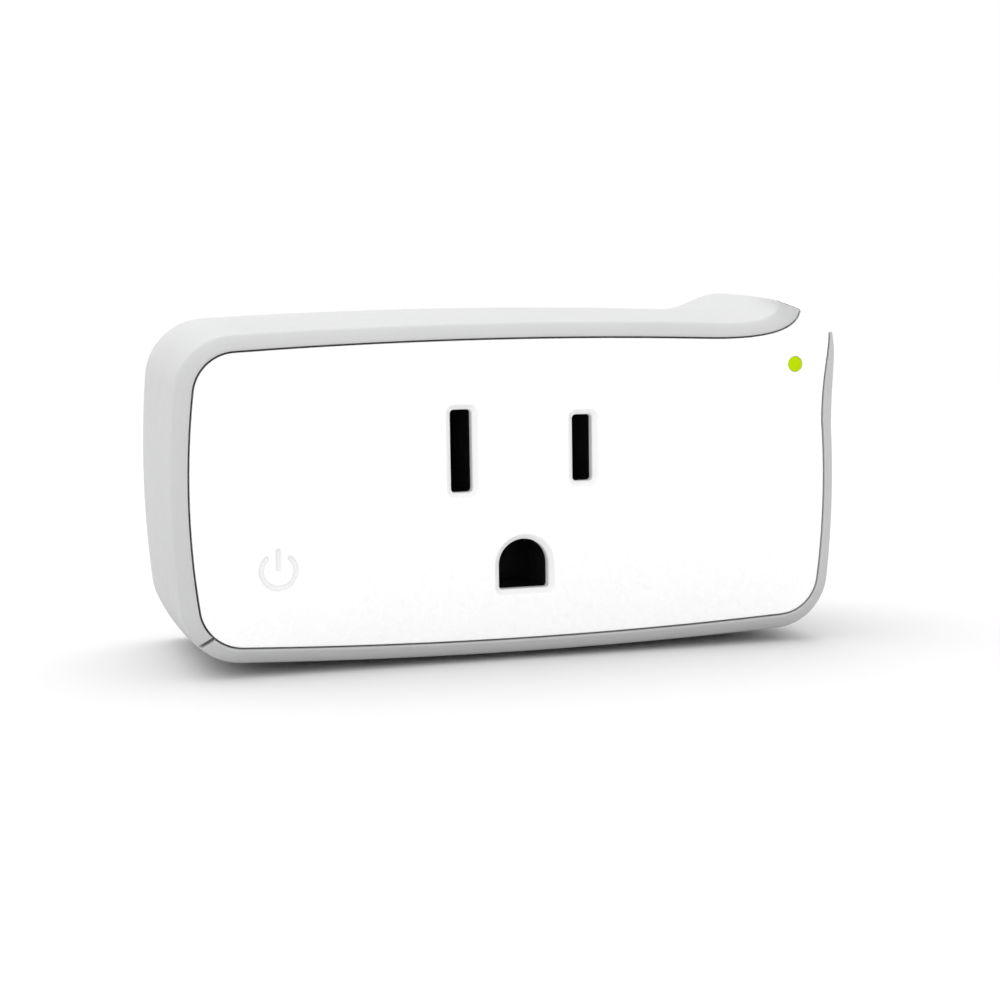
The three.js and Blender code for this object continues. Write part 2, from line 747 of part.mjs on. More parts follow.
// the small hole across a blade near its tip
function sideHole(x) {
  const geometry = new THREE.CylinderGeometry(BLADE_HOLE.radius, BLADE_HOLE.radius, 4, 20);
  geometry.rotateZ(Math.PI / 2);
  geometry.translate(x, FRONT + BLADE_BACK - BLADE_HOLE.fromTip, 0);
  return toSolid(geometry);
}

// the ground pin is turned: a round bar with a domed end and a root flange
function groundPin() {
  const profile = [
    [0, FLANGE.front],
    [PIN_RADIUS + FLANGE.grow, FLANGE.front],
    [PIN_RADIUS + FLANGE.grow, FLANGE.back],
    [PIN_RADIUS, FLANGE.back],
    ...arc([0, PIN_BACK - PIN_RADIUS], PIN_RADIUS, 0, Math.PI / 2, 6),
  ].map(([radius, depth]) => new THREE.Vector2(Math.max(radius, 0), depth));
  profile[profile.length - 1].x = 0;
  const geometry = new THREE.LatheGeometry(profile, 24);
  geometry.translate(0, FRONT, GROUND_Z);
  return join(
    toSolid(geometry),
    block([-0.4, 0.4], [BOARD.front + 0.1, FLANGE.front + 0.2], [GROUND_Z - 1.2, GROUND_Z + 1.2]),
  );
}

add('neutral_blade', 'nickel', blade(-BLADE_X, NEUTRAL_BLADE_WIDTH));
add('hot_blade', 'nickel', blade(BLADE_X, HOT_BLADE_WIDTH));
add('ground_pin', 'nickel', groundPin());

const flangeWell = (x, width) => block(
  [x - BLADE_THICK / 2 - FLANGE.grow - GAP, x + BLADE_THICK / 2 + FLANGE.grow + GAP],
  [CARRIER.front - 1, FLANGE.back + GAP],
  [-width / 2 - FLANGE.grow - GAP, width / 2 + FLANGE.grow + GAP],
);
const carrierScrewPlaces = [[-9, -11], [9, -11]];
add('blade_carrier', 'blackPlastic', cut(
  block([-CARRIER.halfWidth, CARRIER.halfWidth], [CARRIER.front, CARRIER.back], [CARRIER.low, CARRIER.high]),
  ...bladeWays(CARRIER.front - 1, CARRIER.back + 1),
  flangeWell(-BLADE_X, NEUTRAL_BLADE_WIDTH),
  flangeWell(BLADE_X, HOT_BLADE_WIDTH),
  bar(0, GROUND_Z, PIN_RADIUS + FLANGE.grow + GAP, CARRIER.front - 1, FLANGE.back + GAP, 24),
  ...carrierScrewPlaces.map(([x, z]) => bar(x, z, 1.3, CARRIER.front - 1, CARRIER.back + 1, 12)),
));
carrierScrewPlaces.forEach(([x, z], i) => {
  add(`carrier_screw_${i + 1}`, 'steel', bar(x, z, 1, CARRIER.front + 0.4, CARRIER.back - 0.1, 12));
});

// ---- main board and bus bars

const boardHoles = [
  ...postPlaces.map(([x, z]) => bar(x, z, POST.radius + GAP, BOARD.front - 1, BOARD.back + 1, 16)),
  ...[[-BLADE_X, 0], [BLADE_X, 0], [0, GROUND_Z]].map(
    ([x, z]) => block([x - 0.9, x + 0.9], [BOARD.front - 1, BOARD.back + 1], [z - 1.6, z + 1.6]),
  ),
];
add('main_board', 'boardGreen', cut(
  block([-BOARD.halfWidth, BOARD.halfWidth], [BOARD.front, BOARD.back], [BOARD.low, BOARD.high]),
  buttonBlock([2, 9.3], [BOARD.front - 1, BOARD.back + 1], [-8, 8]),
  ...boardHoles,
));

// flat bars in front of the board, from the contacts' tails to the parts beside the core
const bus = (from, to, low, high) => block([from, to], [BUS.front, BUS.back], [low, high]);
add('neutral_bus', 'brass', bus(-12, NEUTRAL_X - 0.6, -1, 1));
add('load_bus', 'brass', bus(HOT_X + 0.6, 12, -1, 1));
add('line_bus', 'brass', bus(-12, 12, 3, 5));
add('ground_bus', 'brass', bus(-1, 1, GROUND_Z + 1.6, -4));

// ---- power parts on the left of the core

add('relay', 'relayBlue', block([-26.5, -13], [7.6, 22.7], [-9.5, 8]));
add('radio_board', 'boardGreen', block([-26.5, -12.6], [4.4, 5.2], [-16.5, 8]));
add('radio_shield', 'tin', block([-25.5, -13.6], [5.5, 7.3], [-9, 6]));
add('film_capacitor', 'filmYellow', block([-26, -18.5], [9, 22.7], [-19, -10]));

// a cylinder lying along Z
function upright(x, z0, z1, radius, depth, sides = 18) {
  const geometry = new THREE.CylinderGeometry(radius, radius, z1 - z0, sides);
  geometry.rotateX(Math.PI / 2);
  geometry.translate(x, FRONT + depth, (z0 + z1) / 2);
  return toSolid(geometry);
}

add('varistor', 'discBlue', join(
  upright(-15, -14.2, -11, 3.2, 14),
  block([-15.4, -14.6], [14, 22.7], [-13, -12.2]),
));
add('fuse', 'tin', upright(-15, -19.2, -14.6, 1.6, 20.6));

const headerPins = [0, 1, 2, 3, 4].map((i) => {
  const x = -24 + i * 2.54;
  return block([x - 0.32, x + 0.32], [5.5, 22.7], [8.6, 9.24]);
});
add('board_header', 'blackPlastic', join(block([-25.3, -12.6], [8, 10.5], [8.3, 9.6]), ...headerPins));

// ---- low-voltage supply on the right of the core

add('transformer_core', 'ferrite', cut(
  block([13, 25.4], [10.5, 22.7], [-5.5, 6.2]),
  block([14.8, 23.6], [12.6, 20.6], [-6.5, 7.2]),
));
add('transformer_winding', 'winding', prism(
  toShape(shifted(roundedBox(8.2, 10.6, 2), 19.2, 0.35)), 12.9, 20.3,
));
add('bulk_capacitor', 'blackPlastic', bar(17, -10.4, 3.8, 10.7, 22.7, 24));
add('output_capacitor', 'blackPlastic', bar(24.2, -12, 2.7, 14.7, 22.7, 20));
add('bridge_rectifier', 'blackPlastic', block([13.2, 18.2], [20.2, 22.7], [-18.4, -14.8]));
add('line_inductor', 'ferrite', bar(22.6, -17.3, 1.9, 16.5, 22.7, 16));
add('power_chip', 'blackPlastic', block([14, 19], [BOARD.back + 0.2, BOARD.back + 1.9], [-9, -5]));

export default plug;
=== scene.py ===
"""Looks for the smart plug: smooth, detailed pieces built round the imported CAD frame.

Shapes are worked out in millimetres in the CAD frame (X right seen from the front, Y back into the
wall, Z up) and written to Blender in metres. A depth is a distance behind the front plane.
"""

import math
from functools import lru_cache

import bmesh
import bpy
from mathutils import Matrix, Vector
from mathutils.geometry import tessellate_polygon


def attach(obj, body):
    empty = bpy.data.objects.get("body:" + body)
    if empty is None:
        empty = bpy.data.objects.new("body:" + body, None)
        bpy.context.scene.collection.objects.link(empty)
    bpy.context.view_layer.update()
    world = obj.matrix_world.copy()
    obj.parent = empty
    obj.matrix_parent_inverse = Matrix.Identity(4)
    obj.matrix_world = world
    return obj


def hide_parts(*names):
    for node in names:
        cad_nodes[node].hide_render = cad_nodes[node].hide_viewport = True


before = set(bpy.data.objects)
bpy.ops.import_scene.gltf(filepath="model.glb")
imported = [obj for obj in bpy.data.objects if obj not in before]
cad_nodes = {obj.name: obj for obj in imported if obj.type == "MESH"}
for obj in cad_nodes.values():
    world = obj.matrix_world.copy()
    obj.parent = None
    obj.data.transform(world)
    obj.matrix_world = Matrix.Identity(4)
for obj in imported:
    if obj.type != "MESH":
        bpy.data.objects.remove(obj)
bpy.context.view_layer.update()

# ---------------------------------------------------------------- dimensions, the same as the CAD's

MM = 0.001
BODY_DEPTH = 33.0
FRONT = -BODY_DEPTH
CENTRE_Z = -4.2

PLATE_HALF_WIDTH = 34.1
PLATE_HALF_HEIGHT = 15.6
PLATE_CORNER = 4.46
BULGE_SIDE = 1.48
BULGE_TOP = 1.06
PLATE_THICK = 2.0
PLATE_BACK = 2.3  # the casing's ledge behind the plate
LIP_DEPTH = 3.0
LIP_THICK = 2.0

BEVEL_LAND = 0.24
BEVEL_OUT = 1.62
BEVEL_DEPTH = 1.3
CROWN_DEPTH = 27.0
CROWN_SIDE = 1.95
CROWN_TOP = 3.1
CORNER_BOW = 0.16
REAR_ROUND = 1.5
REAR_EDGE = BODY_DEPTH - REAR_ROUND
WALL = 2.2
LEDGE_IN = 2.2
LEDGE_BACK = 4.0
REAR_THICK = 2.2
REAR_FRONT = BODY_DEPTH - REAR_THICK

CORNER_FRONT = {
    "side_from": 6.0,
    "shoulder": (34.72, 15.54),
    "crest_in": (33.4, 17.9),
    "crest": (31.25, 17.94),
    "crest_out": (30.82, 15.37),
    "top_from": 20.4,
}
CORNER_EDGE = {
    "side_from": 5.2,
    "shoulder": (35.85, 12.9),
    "crest_in": (33.6, 18.85),
    "crest": (29.48, 18.89),
    "crest_out": (29.09, 16.76),
    "top_from": 21.6,
}
CORNER_REAR = {
    "side_from": 8.2,
    "shoulder": (36.05, 16.2),
    "crest_in": (36.1, 19.5),
    "crest": (34.9, 19.97),
    "crest_out": (31.2, 19.95),
    "top_from": 26.0,
}

BUTTON_FRONT = 3.3
BUTTON_BACK = 24.0
BUTTON_THICK = 1.6
BUTTON_FLOOR = 2.3  # how far in the pocket's floor lies
BUTTON_MIDDLE = 15.0
BUTTON_STEM = 1.1
BUTTON_CENTRE = Vector((34.63, FRONT + BUTTON_MIDDLE, 13.7))
PRESS = Vector((-math.sqrt(0.5), 0.0, -math.sqrt(0.5)))
LIP_SIDE = Vector((0.25, 0.0, -0.97))  # the way the lip's side runs inward under the crest

BLADE_X = 6.35
GROUND_Z = -11.89
OUTLET_X = 0.28
NEUTRAL_X = OUTLET_X - BLADE_X
HOT_X = OUTLET_X + BLADE_X
NEUTRAL_SLOT = (-6.21, -0.03, 2.3, 8.55)  # middle x, z, width, height
HOT_SLOT = (6.8, -0.12, 2.18, 6.97)
GROUND_HOLE = (0.27, -12.08)
GROUND_RADIUS = 2.68
GROUND_BELOW = 2.53
SLOT_CORNER = 0.42
BLADE_THICK = 1.5
HOT_BLADE_WIDTH = 6.35
NEUTRAL_BLADE_WIDTH = 7.9
BLADE_BACK = BODY_DEPTH + 17.5
PIN_RADIUS = 2.4
PIN_BACK = BODY_DEPTH + 20.7
FLANGE_FRONT = 25.6
FLANGE_BACK = 27.4
FLANGE_GROW = 1.0
TAIL_FRONT = 23.1
TAIL = (0.4, 1.2)

LENS_X = 30.72
LENS_Z = 8.03
LENS_RADIUS = 0.82
LENS_LENGTH = 5.2
MARK_X = -25.4
MARK_Z = -11.4
MARK_RADIUS = 1.75
MARK_STROKE = 0.5
MARK_DEPTH = 0.3
MARK_OPENING = 0.75

POST_X = 29.4
POST_Z = 7.2
POST_RADIUS = 2.0
POST_HOLE = 1.05
POST_BACK = BODY_DEPTH - REAR_THICK - 0.3
SCREW_HEAD = 2.1
SCREW_HEAD_DEPTH = 1.1
SCREW_SHANK = 0.85
SCREW_LENGTH = 9.0
SCREW_SUNK = 0.2

# how finely the visible edges are finished
SEAM_PLATE = 0.09  # the plate stands this far inside its outline
SEAM_CASING = 0.08  # and the casing's pocket this far outside it
PART_GAP = 0.36  # between the casing's halves
STRIP_MARGIN = 0.12  # from the pocket's edge to the plate's lip and to the button
BEVEL_SWELL = 0.08
BEVEL_REACH = 0.82  # share of the bevel where its rounded outer edge begins
EDGE_SOFT = 0.32
FILLET = ((0.0, 0.1), (0.03, 0.042), (0.065, 0.012), (0.11, 0.0))  # along the face, and down


# ---------------------------------------------------------------- outlines

def mix(a, b, share):
    return a + (b - a) * share


def steps(start, end, count, first=True):
    """Evenly spaced values from start to end, with or without the first."""
    return [mix(start, end, i / count) for i in range(0 if first else 1, count + 1)]


def on_circle(centre, radius, angle):
    return centre[0] + radius * math.cos(angle), centre[1] + radius * math.sin(angle)


def circle(centre, radius, count=48):
    return [on_circle(centre, radius, 2 * math.pi * i / count) for i in range(count)]


def bezier(p0, p1, p2, p3, t):
    u = 1 - t
    weights = (u * u * u, 3 * u * u * t, 3 * u * t * t, t * t * t)
    return tuple(
        sum(w * p[axis] for w, p in zip(weights, (p0, p1, p2, p3))) for axis in (0, 1)
    )


@lru_cache(maxsize=None)
def outline_circles(out_side, out_top):
    """The side's, the top's and the corner's circles: centre, radius, start and end angle."""
    a = PLATE_HALF_WIDTH + out_side
    b = PLATE_HALF_HEIGHT + out_top
    corner = PLATE_CORNER + (out_side + out_top) / 2
    side_radius = (b * b + BULGE_SIDE**2) / (2 * BULGE_SIDE)
    top_radius = (a * a + BULGE_TOP**2) / (2 * BULGE_TOP)
    side = (a - side_radius, 0.0)
    top = (0.0, b - top_radius)
    dx, dz = top[0] - side[0], top[1] - side[1]
    apart = math.hypot(dx, dz)
    reach_side = side_radius - corner
    reach_top = top_radius - corner
    along = (reach_side**2 - reach_top**2 + apart**2) / (2 * apart)
    across = math.sqrt(reach_side**2 - along**2)
    middle = (
        side[0] + (along * dx - across * dz) / apart,
        side[1] + (along * dz + across * dx) / apart,
    )
    low = math.atan2(middle[1] - side[1], middle[0] - side[0])
    high = math.atan2(middle[1] - top[1], middle[0] - top[0])
    return (
        (side, side_radius, 0.0, low),
        (middle, corner, low, high),
        (top, top_radius, high, math.pi / 2),
    )


def plain_quarter(u, out_side, out_top):
    """A point of the plain first quarter: side for u in 0..1, corner in 1..2, top in 2..3."""
    part = min(int(u), 2)
    centre, radius, start, end = outline_circles(out_side, out_top)[part]
    return on_circle(centre, radius, mix(start, end, u - part))


def raised_quarter(s, out_side, out_top, corner):
    """A point of the first quarter with the raised corner: s 0..1 side, 1..2 up to the shoulder,
    2..3 over to the crest, 3..4 down to the top, 4..5 along the top."""
    (side, side_radius, _, _), _, (top, top_radius, _, _) = outline_circles(out_side, out_top)
    side_angle = math.asin(corner["side_from"] / side_radius)
    top_angle = math.acos(corner["top_from"] / top_radius)
    if s <= 1:
        return on_circle(side, side_radius, side_angle * s)
    if s >= 4:
        return on_circle(top, top_radius, mix(top_angle, math.pi / 2, s - 4))
    shoulder, crest = corner["shoulder"], corner["crest"]
    if s <= 2:
        leave = on_circle(side, side_radius, side_angle)
        rise = shoulder[1] - leave[1]
        above = (leave[0], leave[1] + rise * 0.5)
        below = (shoulder[0], shoulder[1] - rise * 0.25)
        return bezier(leave, above, below, shoulder, s - 1)
    if s <= 3:
        above = (shoulder[0], shoulder[1] * 0.4 + crest[1] * 0.6)
        return bezier(shoulder, above, corner["crest_in"], crest, s - 2)
    end = on_circle(top, top_radius, top_angle)
    before = (end[0] + (crest[0] - corner["top_from"]) / 2, end[1] - 0.2)
    return bezier(crest, corner["crest_out"], before, end, s - 3)


CORNER_FROM, CORNER_TO = 1.6, 3.4  # the stretch of a raised quarter's s that the corner takes up


def first_quarter_share(s):
    """Where along the plain quarter a raised quarter's s falls."""
    if s < CORNER_FROM:
        return s / CORNER_FROM
    if s < CORNER_TO:
        return 1 + (s - CORNER_FROM) / (CORNER_TO - CORNER_FROM)
    return 2 + (s - CORNER_TO) / (5 - CORNER_TO)


def outline_point(s, out_side, out_top, corner=None):
    """A point of the whole outline; s runs 0..14 counter-clockwise from the right-hand side."""
    s = s % 14
    if s <= 5:
        if corner:
            x, z = raised_quarter(s, out_side, out_top, corner)
        else:
            x, z = plain_quarter(first_quarter_share(s), out_side, out_top)
    elif s <= 8:
        x, z = plain_quarter(8 - s, out_side, out_top)
        x = -x
    elif s <= 11:
        x, z = plain_quarter(s - 8, out_side, out_top)
        x, z = -x, -z
    else:
        x, z = plain_quarter(14 - s, out_side, out_top)
        z = -z
    return x, z + CENTRE_Z


STEP_COUNTS = (6, 14, 16, 26, 12, 18, 18, 10, 10, 18, 18, 18, 18, 10)  # in each unit of s
OUTLINE_STEPS = [
    mix(i, i + 1, j / count) for i, count in enumerate(STEP_COUNTS) for j in range(count)
]


# ---------------------------------------------------------------- the casing's outside

def mix_corner(near, far, share, inset=0.0):
    """A raised corner between two others, drawn in by an inset."""
    made = {}
    for key, value in near.items():
        if isinstance(value, tuple):
            made[key] = tuple(mix(a, b, share) - inset for a, b in zip(value, far[key]))
        else:
            made[key] = mix(value, far[key], share)
    return made


PLATE_CORNER_MOVES = {  # sideways and up, for each millimetre that the plate's corner grows
    "shoulder": (1, 0.4),
    "crest_in": (0.4, 1),
    "crest": (-0.8, 1),
    "crest_out": (-0.8, 0.5),
}


@lru_cache(maxsize=None)
def plate_corner(grow):
    made = dict(CORNER_FRONT)
    for key, (sideways, up) in PLATE_CORNER_MOVES.items():
        x, z = CORNER_FRONT[key]
        made[key] = (x + grow * sideways, z + grow * up)
    return made


@lru_cache(maxsize=None)
def corner_at(depth, inset=0.0):
    share = min((depth - BEVEL_DEPTH) / (REAR_EDGE - BEVEL_DEPTH), 1.0)
    bow = 4 * CORNER_BOW * share * (1 - share)
    return mix_corner(CORNER_EDGE, CORNER_REAR, share, inset - bow)


def crown(depth):
    """How far the walls stand outside the plate's outline at a depth: sides, top."""
    share = 1 - ((depth - CROWN_DEPTH) / (CROWN_DEPTH - BEVEL_DEPTH)) ** 2
    return mix(BEVEL_OUT, CROWN_SIDE, share), mix(BEVEL_OUT, CROWN_TOP, share)


def plate_point(s, grow, depth):
    x, z = outline_point(s, grow, grow, plate_corner(grow))
    return Vector((x, FRONT + depth, z))


def wall_point(s, depth, inset=0.0):
    side, top = crown(min(depth, REAR_EDGE))
    x, z = outline_point(s, side - inset, top - inset, corner_at(depth, inset))
    return Vector((x, FRONT + depth, z))


def plain_point(s, out_side, out_top, depth):
    x, z = outline_point(s, out_side, out_top)
    return Vector((x, FRONT + depth, z))


def bevel_point(s, share):
    """A point on the bevel, which swells slightly, from its front edge (0) to the wall (1)."""
    near = plate_point(s, BEVEL_LAND, 0.0)
    far = wall_point(s, BEVEL_DEPTH)
    out = Vector((far.x - near.x, 0.0, far.z - near.z)).normalized()
    swell = BEVEL_SWELL * 4 * share * (1 - share)
    return near.lerp(far, share) + (out - Vector((0, 1, 0))).normalized() * swell


def soft_edge_point(s, turn):
    """The rounded edge between the bevel and the wall."""
    a = bevel_point(s, BEVEL_REACH)
    b = wall_point(s, BEVEL_DEPTH)
    c = wall_point(s, BEVEL_DEPTH + EDGE_SOFT)
    return a.lerp(b, turn).lerp(b.lerp(c, turn), turn)


def rear_point(s, turn):
    angle = turn * math.pi / 2
    depth = REAR_EDGE + REAR_ROUND * math.sin(angle)
    return wall_point(s, depth, REAR_ROUND * (1 - math.cos(angle)))


BEVEL_SHARES = (0.05, 0.14, 0.26, 0.38, 0.5, 0.62)
SOFT_TURNS = steps(0, 1, 6)
WALL_DEPTHS = (2.3, 3.0)
BUTTON_DEPTHS = (4.4, 6, 8, 10, 12, 14, 16, 18, 20, 22, 23.4)
BACK_DEPTHS = (25.2, 26.5, 28, 29.5, 30.7, REAR_EDGE)
REAR_TURNS = steps(0, 1, 9, False)


# ---------------------------------------------------------------- mesh making

class Shell:
    """Points and faces of one body, in millimetres."""

    def __init__(self):
        self.points = []
        self.faces = []

    def loop(self, points):
        start = len(self.points)
        self.points.extend(Vector(p) for p in points)
        return list(range(start, len(self.points)))

    def skin(self, near, far, closed=True):
        count = len(near)
        for i in range(count if closed else count - 1):
            j = (i + 1) % count
            self.faces.append((near[i], near[j], far[j], far[i]))

    def skins(self, loops, closed=True):
        for near, far in zip(loops, loops[1:]):
            self.skin(near, far, closed)

    def tube(self, rings, closed=True):
        """Rings of points joined by a skin; returns their loops."""
        loops = [self.loop(points) for points in rings]
        self.skins(loops, closed)
        return loops

    def cap(self, loops):
        """Closes both ends of a tube."""
        self.faces += [tuple(loops[0]), tuple(loops[-1])]

    def flat(self, *loops):
        """A flat face with holes: the first loop is its edge, the others are the holes."""
        order = [index for loop in loops for index in loop]
        for triangle in tessellate_polygon([[self.points[i] for i in loop] for loop in loops]):
            self.faces.append(tuple(order[i] for i in triangle))

    def fan(self, loop, centre):
        """Triangles from a loop to a point."""
        hub = self.loop([centre])[0]
        for i, index in enumerate(loop):
            self.faces.append((index, loop[(i + 1) % len(loop)], hub))


def add_object(name, data):
    made = bpy.data.objects.new(name, data)
    bpy.context.scene.collection.objects.link(made)
    return made


def make(name, shell, sharp=32):
    """A Blender object from a shell, welded, facing out and smooth up to an angle in degrees."""
    mesh = bpy.data.meshes.new(name)
    mesh.from_pydata([p * MM for p in shell.points], [], shell.faces)
    work = bmesh.new()
    work.from_mesh(mesh)
    bmesh.ops.remove_doubles(work, verts=work.verts, dist=2e-6)
    bmesh.ops.dissolve_degenerate(work, edges=work.edges, dist=1e-7)
    bmesh.ops.recalc_face_normals(work, faces=work.faces)
    work.to_mesh(mesh)
    work.free()
    made = add_object(name, mesh)
    smooth(made, sharp)
    return made


def smooth(piece, sharp=32):
    piece.data.shade_smooth()
    piece.data.set_sharp_from_angle(angle=math.radians(sharp))


def apply_modifiers(piece):
    depsgraph = bpy.context.evaluated_depsgraph_get()
    mesh = bpy.data.meshes.new_from_object(piece.evaluated_get(depsgraph))
    piece.modifiers.clear()
    piece.data = mesh


def combine(piece, other, operation):
    """Adds another object to a piece or cuts it away, and removes the other."""
    modifier = piece.modifiers.new("combine", "BOOLEAN")
    modifier.object = other
    modifier.operation = operation
    modifier.solver = "EXACT"
    apply_modifiers(piece)
    bpy.data.objects.remove(other)


def soften(piece, width, segments=3, sharp=32):
    """Rounds a piece's edges."""
    modifier = piece.modifiers.new("soften", "BEVEL")
    modifier.width = width * MM
    modifier.segments = segments
    modifier.limit_method = "ANGLE"
    modifier.angle_limit = math.radians(40)
    modifier.use_clamp_overlap = True
    apply_modifiers(piece)
    smooth(piece, sharp)


def at_depth(points, depth):
    return [Vector((x, FRONT + depth, z)) for x, z in points]


def ring(x, z, radius, depth, count=48):
    return at_depth(circle((x, z), radius, count), depth)


def turned(name, profile, x=0.0, z=0.0, count=48, sharp=32):
    """A body turned about an axis along Y, from (radius, depth) pairs that begin and end on it."""
    shell = Shell()
    loops = shell.tube(ring(x, z, radius, depth, count) for radius, depth in profile[1:-1])
    shell.fan(loops[0], (x, FRONT + profile[0][1], z))
    shell.fan(loops[-1], (x, FRONT + profile[-1][1], z))
    return make(name, shell, sharp)


def box(name, xs, depths, zs):
    shell = Shell()
    corners = [(xs[0], zs[0]), (xs[1], zs[0]), (xs[1], zs[1]), (xs[0], zs[1])]
    shell.cap(shell.tube(at_depth(corners, depth) for depth in depths))
    return make(name, shell)


def peg(name, in0, in1, radius, count=40):
    """A bar along the button's line of travel."""
    back = Vector((0, 1, 0))
    edge = [back.cross(PRESS) * a + back * b for a, b in circle((0, 0), radius, count)]
    shell = Shell()
    shell.cap(shell.tube(
        [BUTTON_CENTRE + PRESS * inward + point for point in edge] for inward in (in0, in1)
    ))
    return make(name, shell)


# ---------------------------------------------------------------- casing halves

# partings: a point of each, and the way it runs outward
LOW_PARTING = (Vector((-32.2, 0, -17.9)), Vector((-12, 0, -9.5)).normalized())
HIGH_PARTING = (BUTTON_CENTRE, -PRESS)
HALVINGS = 26  # in the search for a place on the outline
LIP_TURN_FROM, LIP_TURN_OVER = 2.4, 0.6  # the stretch of s over which the lip's side turns down
PAD_EXTRA = 0.8  # added to the wall's thickness behind the button
PAD_MIDDLE, PAD_REACH = 2.6, 0.9
LIP_POCKET = 2.4  # how far in the pocket for the lip reaches
POCKET_BACK = BUTTON_BACK + 0.3
STEM = (0.9, 4.4)  # how far in the button's stem and the way for it reach
STEM_WAY = (-1.0, 6.0)
STEM_CLEAR = 0.3


def parting_distance(point, parting):
    origin, outward = parting
    return outward.x * (point.z - origin.z) - outward.z * (point.x - origin.x)


def find_s(place, parting, distance, low, high):
    """The s at which a row of the casing is at a distance past a parting."""
    for _ in range(HALVINGS):
        middle = (low + high) / 2
        if parting_distance(place(middle), parting) < distance:
            low = middle
        else:
            high = middle
    return (low + high) / 2


def lip_way(s):
    """The way inward under the lip, which turns down towards the crest."""
    turn = min(max((s - LIP_TURN_FROM) / LIP_TURN_OVER, 0.0), 1.0) ** 2
    return PRESS.lerp(LIP_SIDE, turn).normalized()


def lip_floor(depth):
    return lambda s: with_depth(wall_point(s, BUTTON_FRONT) + lip_way(s) * LIP_POCKET, depth)


def with_depth(point, depth):
    return Vector((point.x, FRONT + depth, point.z))


def inner_point(s, depth):
    """The inside of the wall, which is thicker behind the button."""
    side, top = crown(min(depth, CROWN_DEPTH))
    pad = PAD_EXTRA * max(0.0, 1 - abs(s % 14 - PAD_MIDDLE) / PAD_REACH)
    return plain_point(s, side - WALL - pad, top - WALL - pad, depth)


POCKET_EDGE = (  # outside the plate's outline, and depth
    (SEAM_CASING, PLATE_BACK), (SEAM_CASING, 1.1), (SEAM_CASING, 0.1), (SEAM_CASING + 0.014, 0.04),
    (SEAM_CASING + 0.05, 0.006), (SEAM_CASING + 0.1, 0.0),
)
REAR_EDGE_ROWS = ((WALL - 0.12, BODY_DEPTH), (WALL - 0.04, BODY_DEPTH - 0.02))
INNER_DEPTHS = (BODY_DEPTH - 0.12, 30, 26, 21, 16, 11, 7, LEDGE_BACK)
LEDGE_DEPTHS = (LEDGE_BACK, PLATE_BACK)


def on_wall(depth, inward=0.0):
    """A row along the casing's wall, or that far in from it the way the button travels."""
    return lambda s: wall_point(s, depth) + PRESS * inward


def casing_rows():
    """Rows of the casing's closed profile: the place on the open casing, and the place under
    the strip of the plate's lip and the button, or None where the strip changes nothing."""
    front = [lambda s, g=grow, d=depth: plate_point(s, g, d) for grow, depth in POCKET_EDGE]
    front += [lambda s, u=u: bevel_point(s, u) for u in BEVEL_SHARES]
    front += [lambda s, u=u: soft_edge_point(s, u) for u in SOFT_TURNS]
    front += [on_wall(depth) for depth in WALL_DEPTHS]
    rows = [
        (place, lip_floor(mix(PLATE_BACK, BUTTON_FRONT, i / len(front))))
        for i, place in enumerate(front)
    ]
    rows.append((on_wall(BUTTON_FRONT - 0.05), lip_floor(BUTTON_FRONT)))
    for depth in (BUTTON_FRONT, *BUTTON_DEPTHS, POCKET_BACK):
        rows.append((on_wall(depth), on_wall(depth, BUTTON_FLOOR)))
    for along, down in FILLET:
        depth = POCKET_BACK + 0.005 + along
        rows.append((on_wall(depth), on_wall(depth, down)))
    rows += [(on_wall(depth), None) for depth in BACK_DEPTHS]
    rows += [(lambda s, u=turn: rear_point(s, u), None) for turn in REAR_TURNS]
    for inset, depth in REAR_EDGE_ROWS:
        rows.append((lambda s, i=inset, d=depth: wall_point(s, d, i), None))
    for depth in INNER_DEPTHS:
        rows.append((lambda s, d=depth: inner_point(s, d), None))
    for depth in LEDGE_DEPTHS:
        rows.append((lambda s, d=depth: plain_point(s, -LEDGE_IN, -LEDGE_IN, d), None))
    return rows


CASING_ROWS = casing_rows()
ALL_ROWS = len(CASING_ROWS)
OUTSIDE_ROWS = ALL_ROWS - len(REAR_EDGE_ROWS) - len(INNER_DEPTHS) - len(LEDGE_DEPTHS)
LIP_ROWS = len(POCKET_EDGE) + len(BEVEL_SHARES) + len(SOFT_TURNS) + len(WALL_DEPTHS) + 1


class Column:
    """One column of a casing half: where it runs, how many rows lie under the strip, and over
    which rows it is let down to round an edge, how far and which way."""

    def __init__(self, where, under=0, down=0.0, down_way=PRESS, down_rows=(0, OUTSIDE_ROWS)):
        self.where = where
        self.under = under
        self.down = down
        self.down_way = down_way
        self.down_rows = down_rows

    def points(self):
        made = []
        first, last = self.down_rows
        for index, (open_place, under_place) in enumerate(CASING_ROWS):
            s = self.where(open_place)
            below = index < self.under and under_place is not None
            point = under_place(s) if below else open_place(s)
            if first <= index < last and not below:
                point = point + self.down_way * self.down
            made.append(point)
        return made


def end_columns(parting, sign, span, under):
    """Columns that round off a half at a parting, from the cut inward."""
    way = -parting[1]
    return [
        Column(
            lambda place, e=along: find_s(place, parting, sign * (PART_GAP / 2 + e), *span),
            under=under, down=down, down_way=way,
        )
        for along, down in FILLET
    ]


def up_to(fixed, parting, distance, span, count, under=0):
    """Columns from a fixed s towards a parting, stopping short of it."""
    return [
        Column(
            lambda place, v=v: mix(fixed, find_s(place, parting, distance, *span), v), under=under,
        )
        for v in steps(0, 1, count, False)[:-1]
    ]


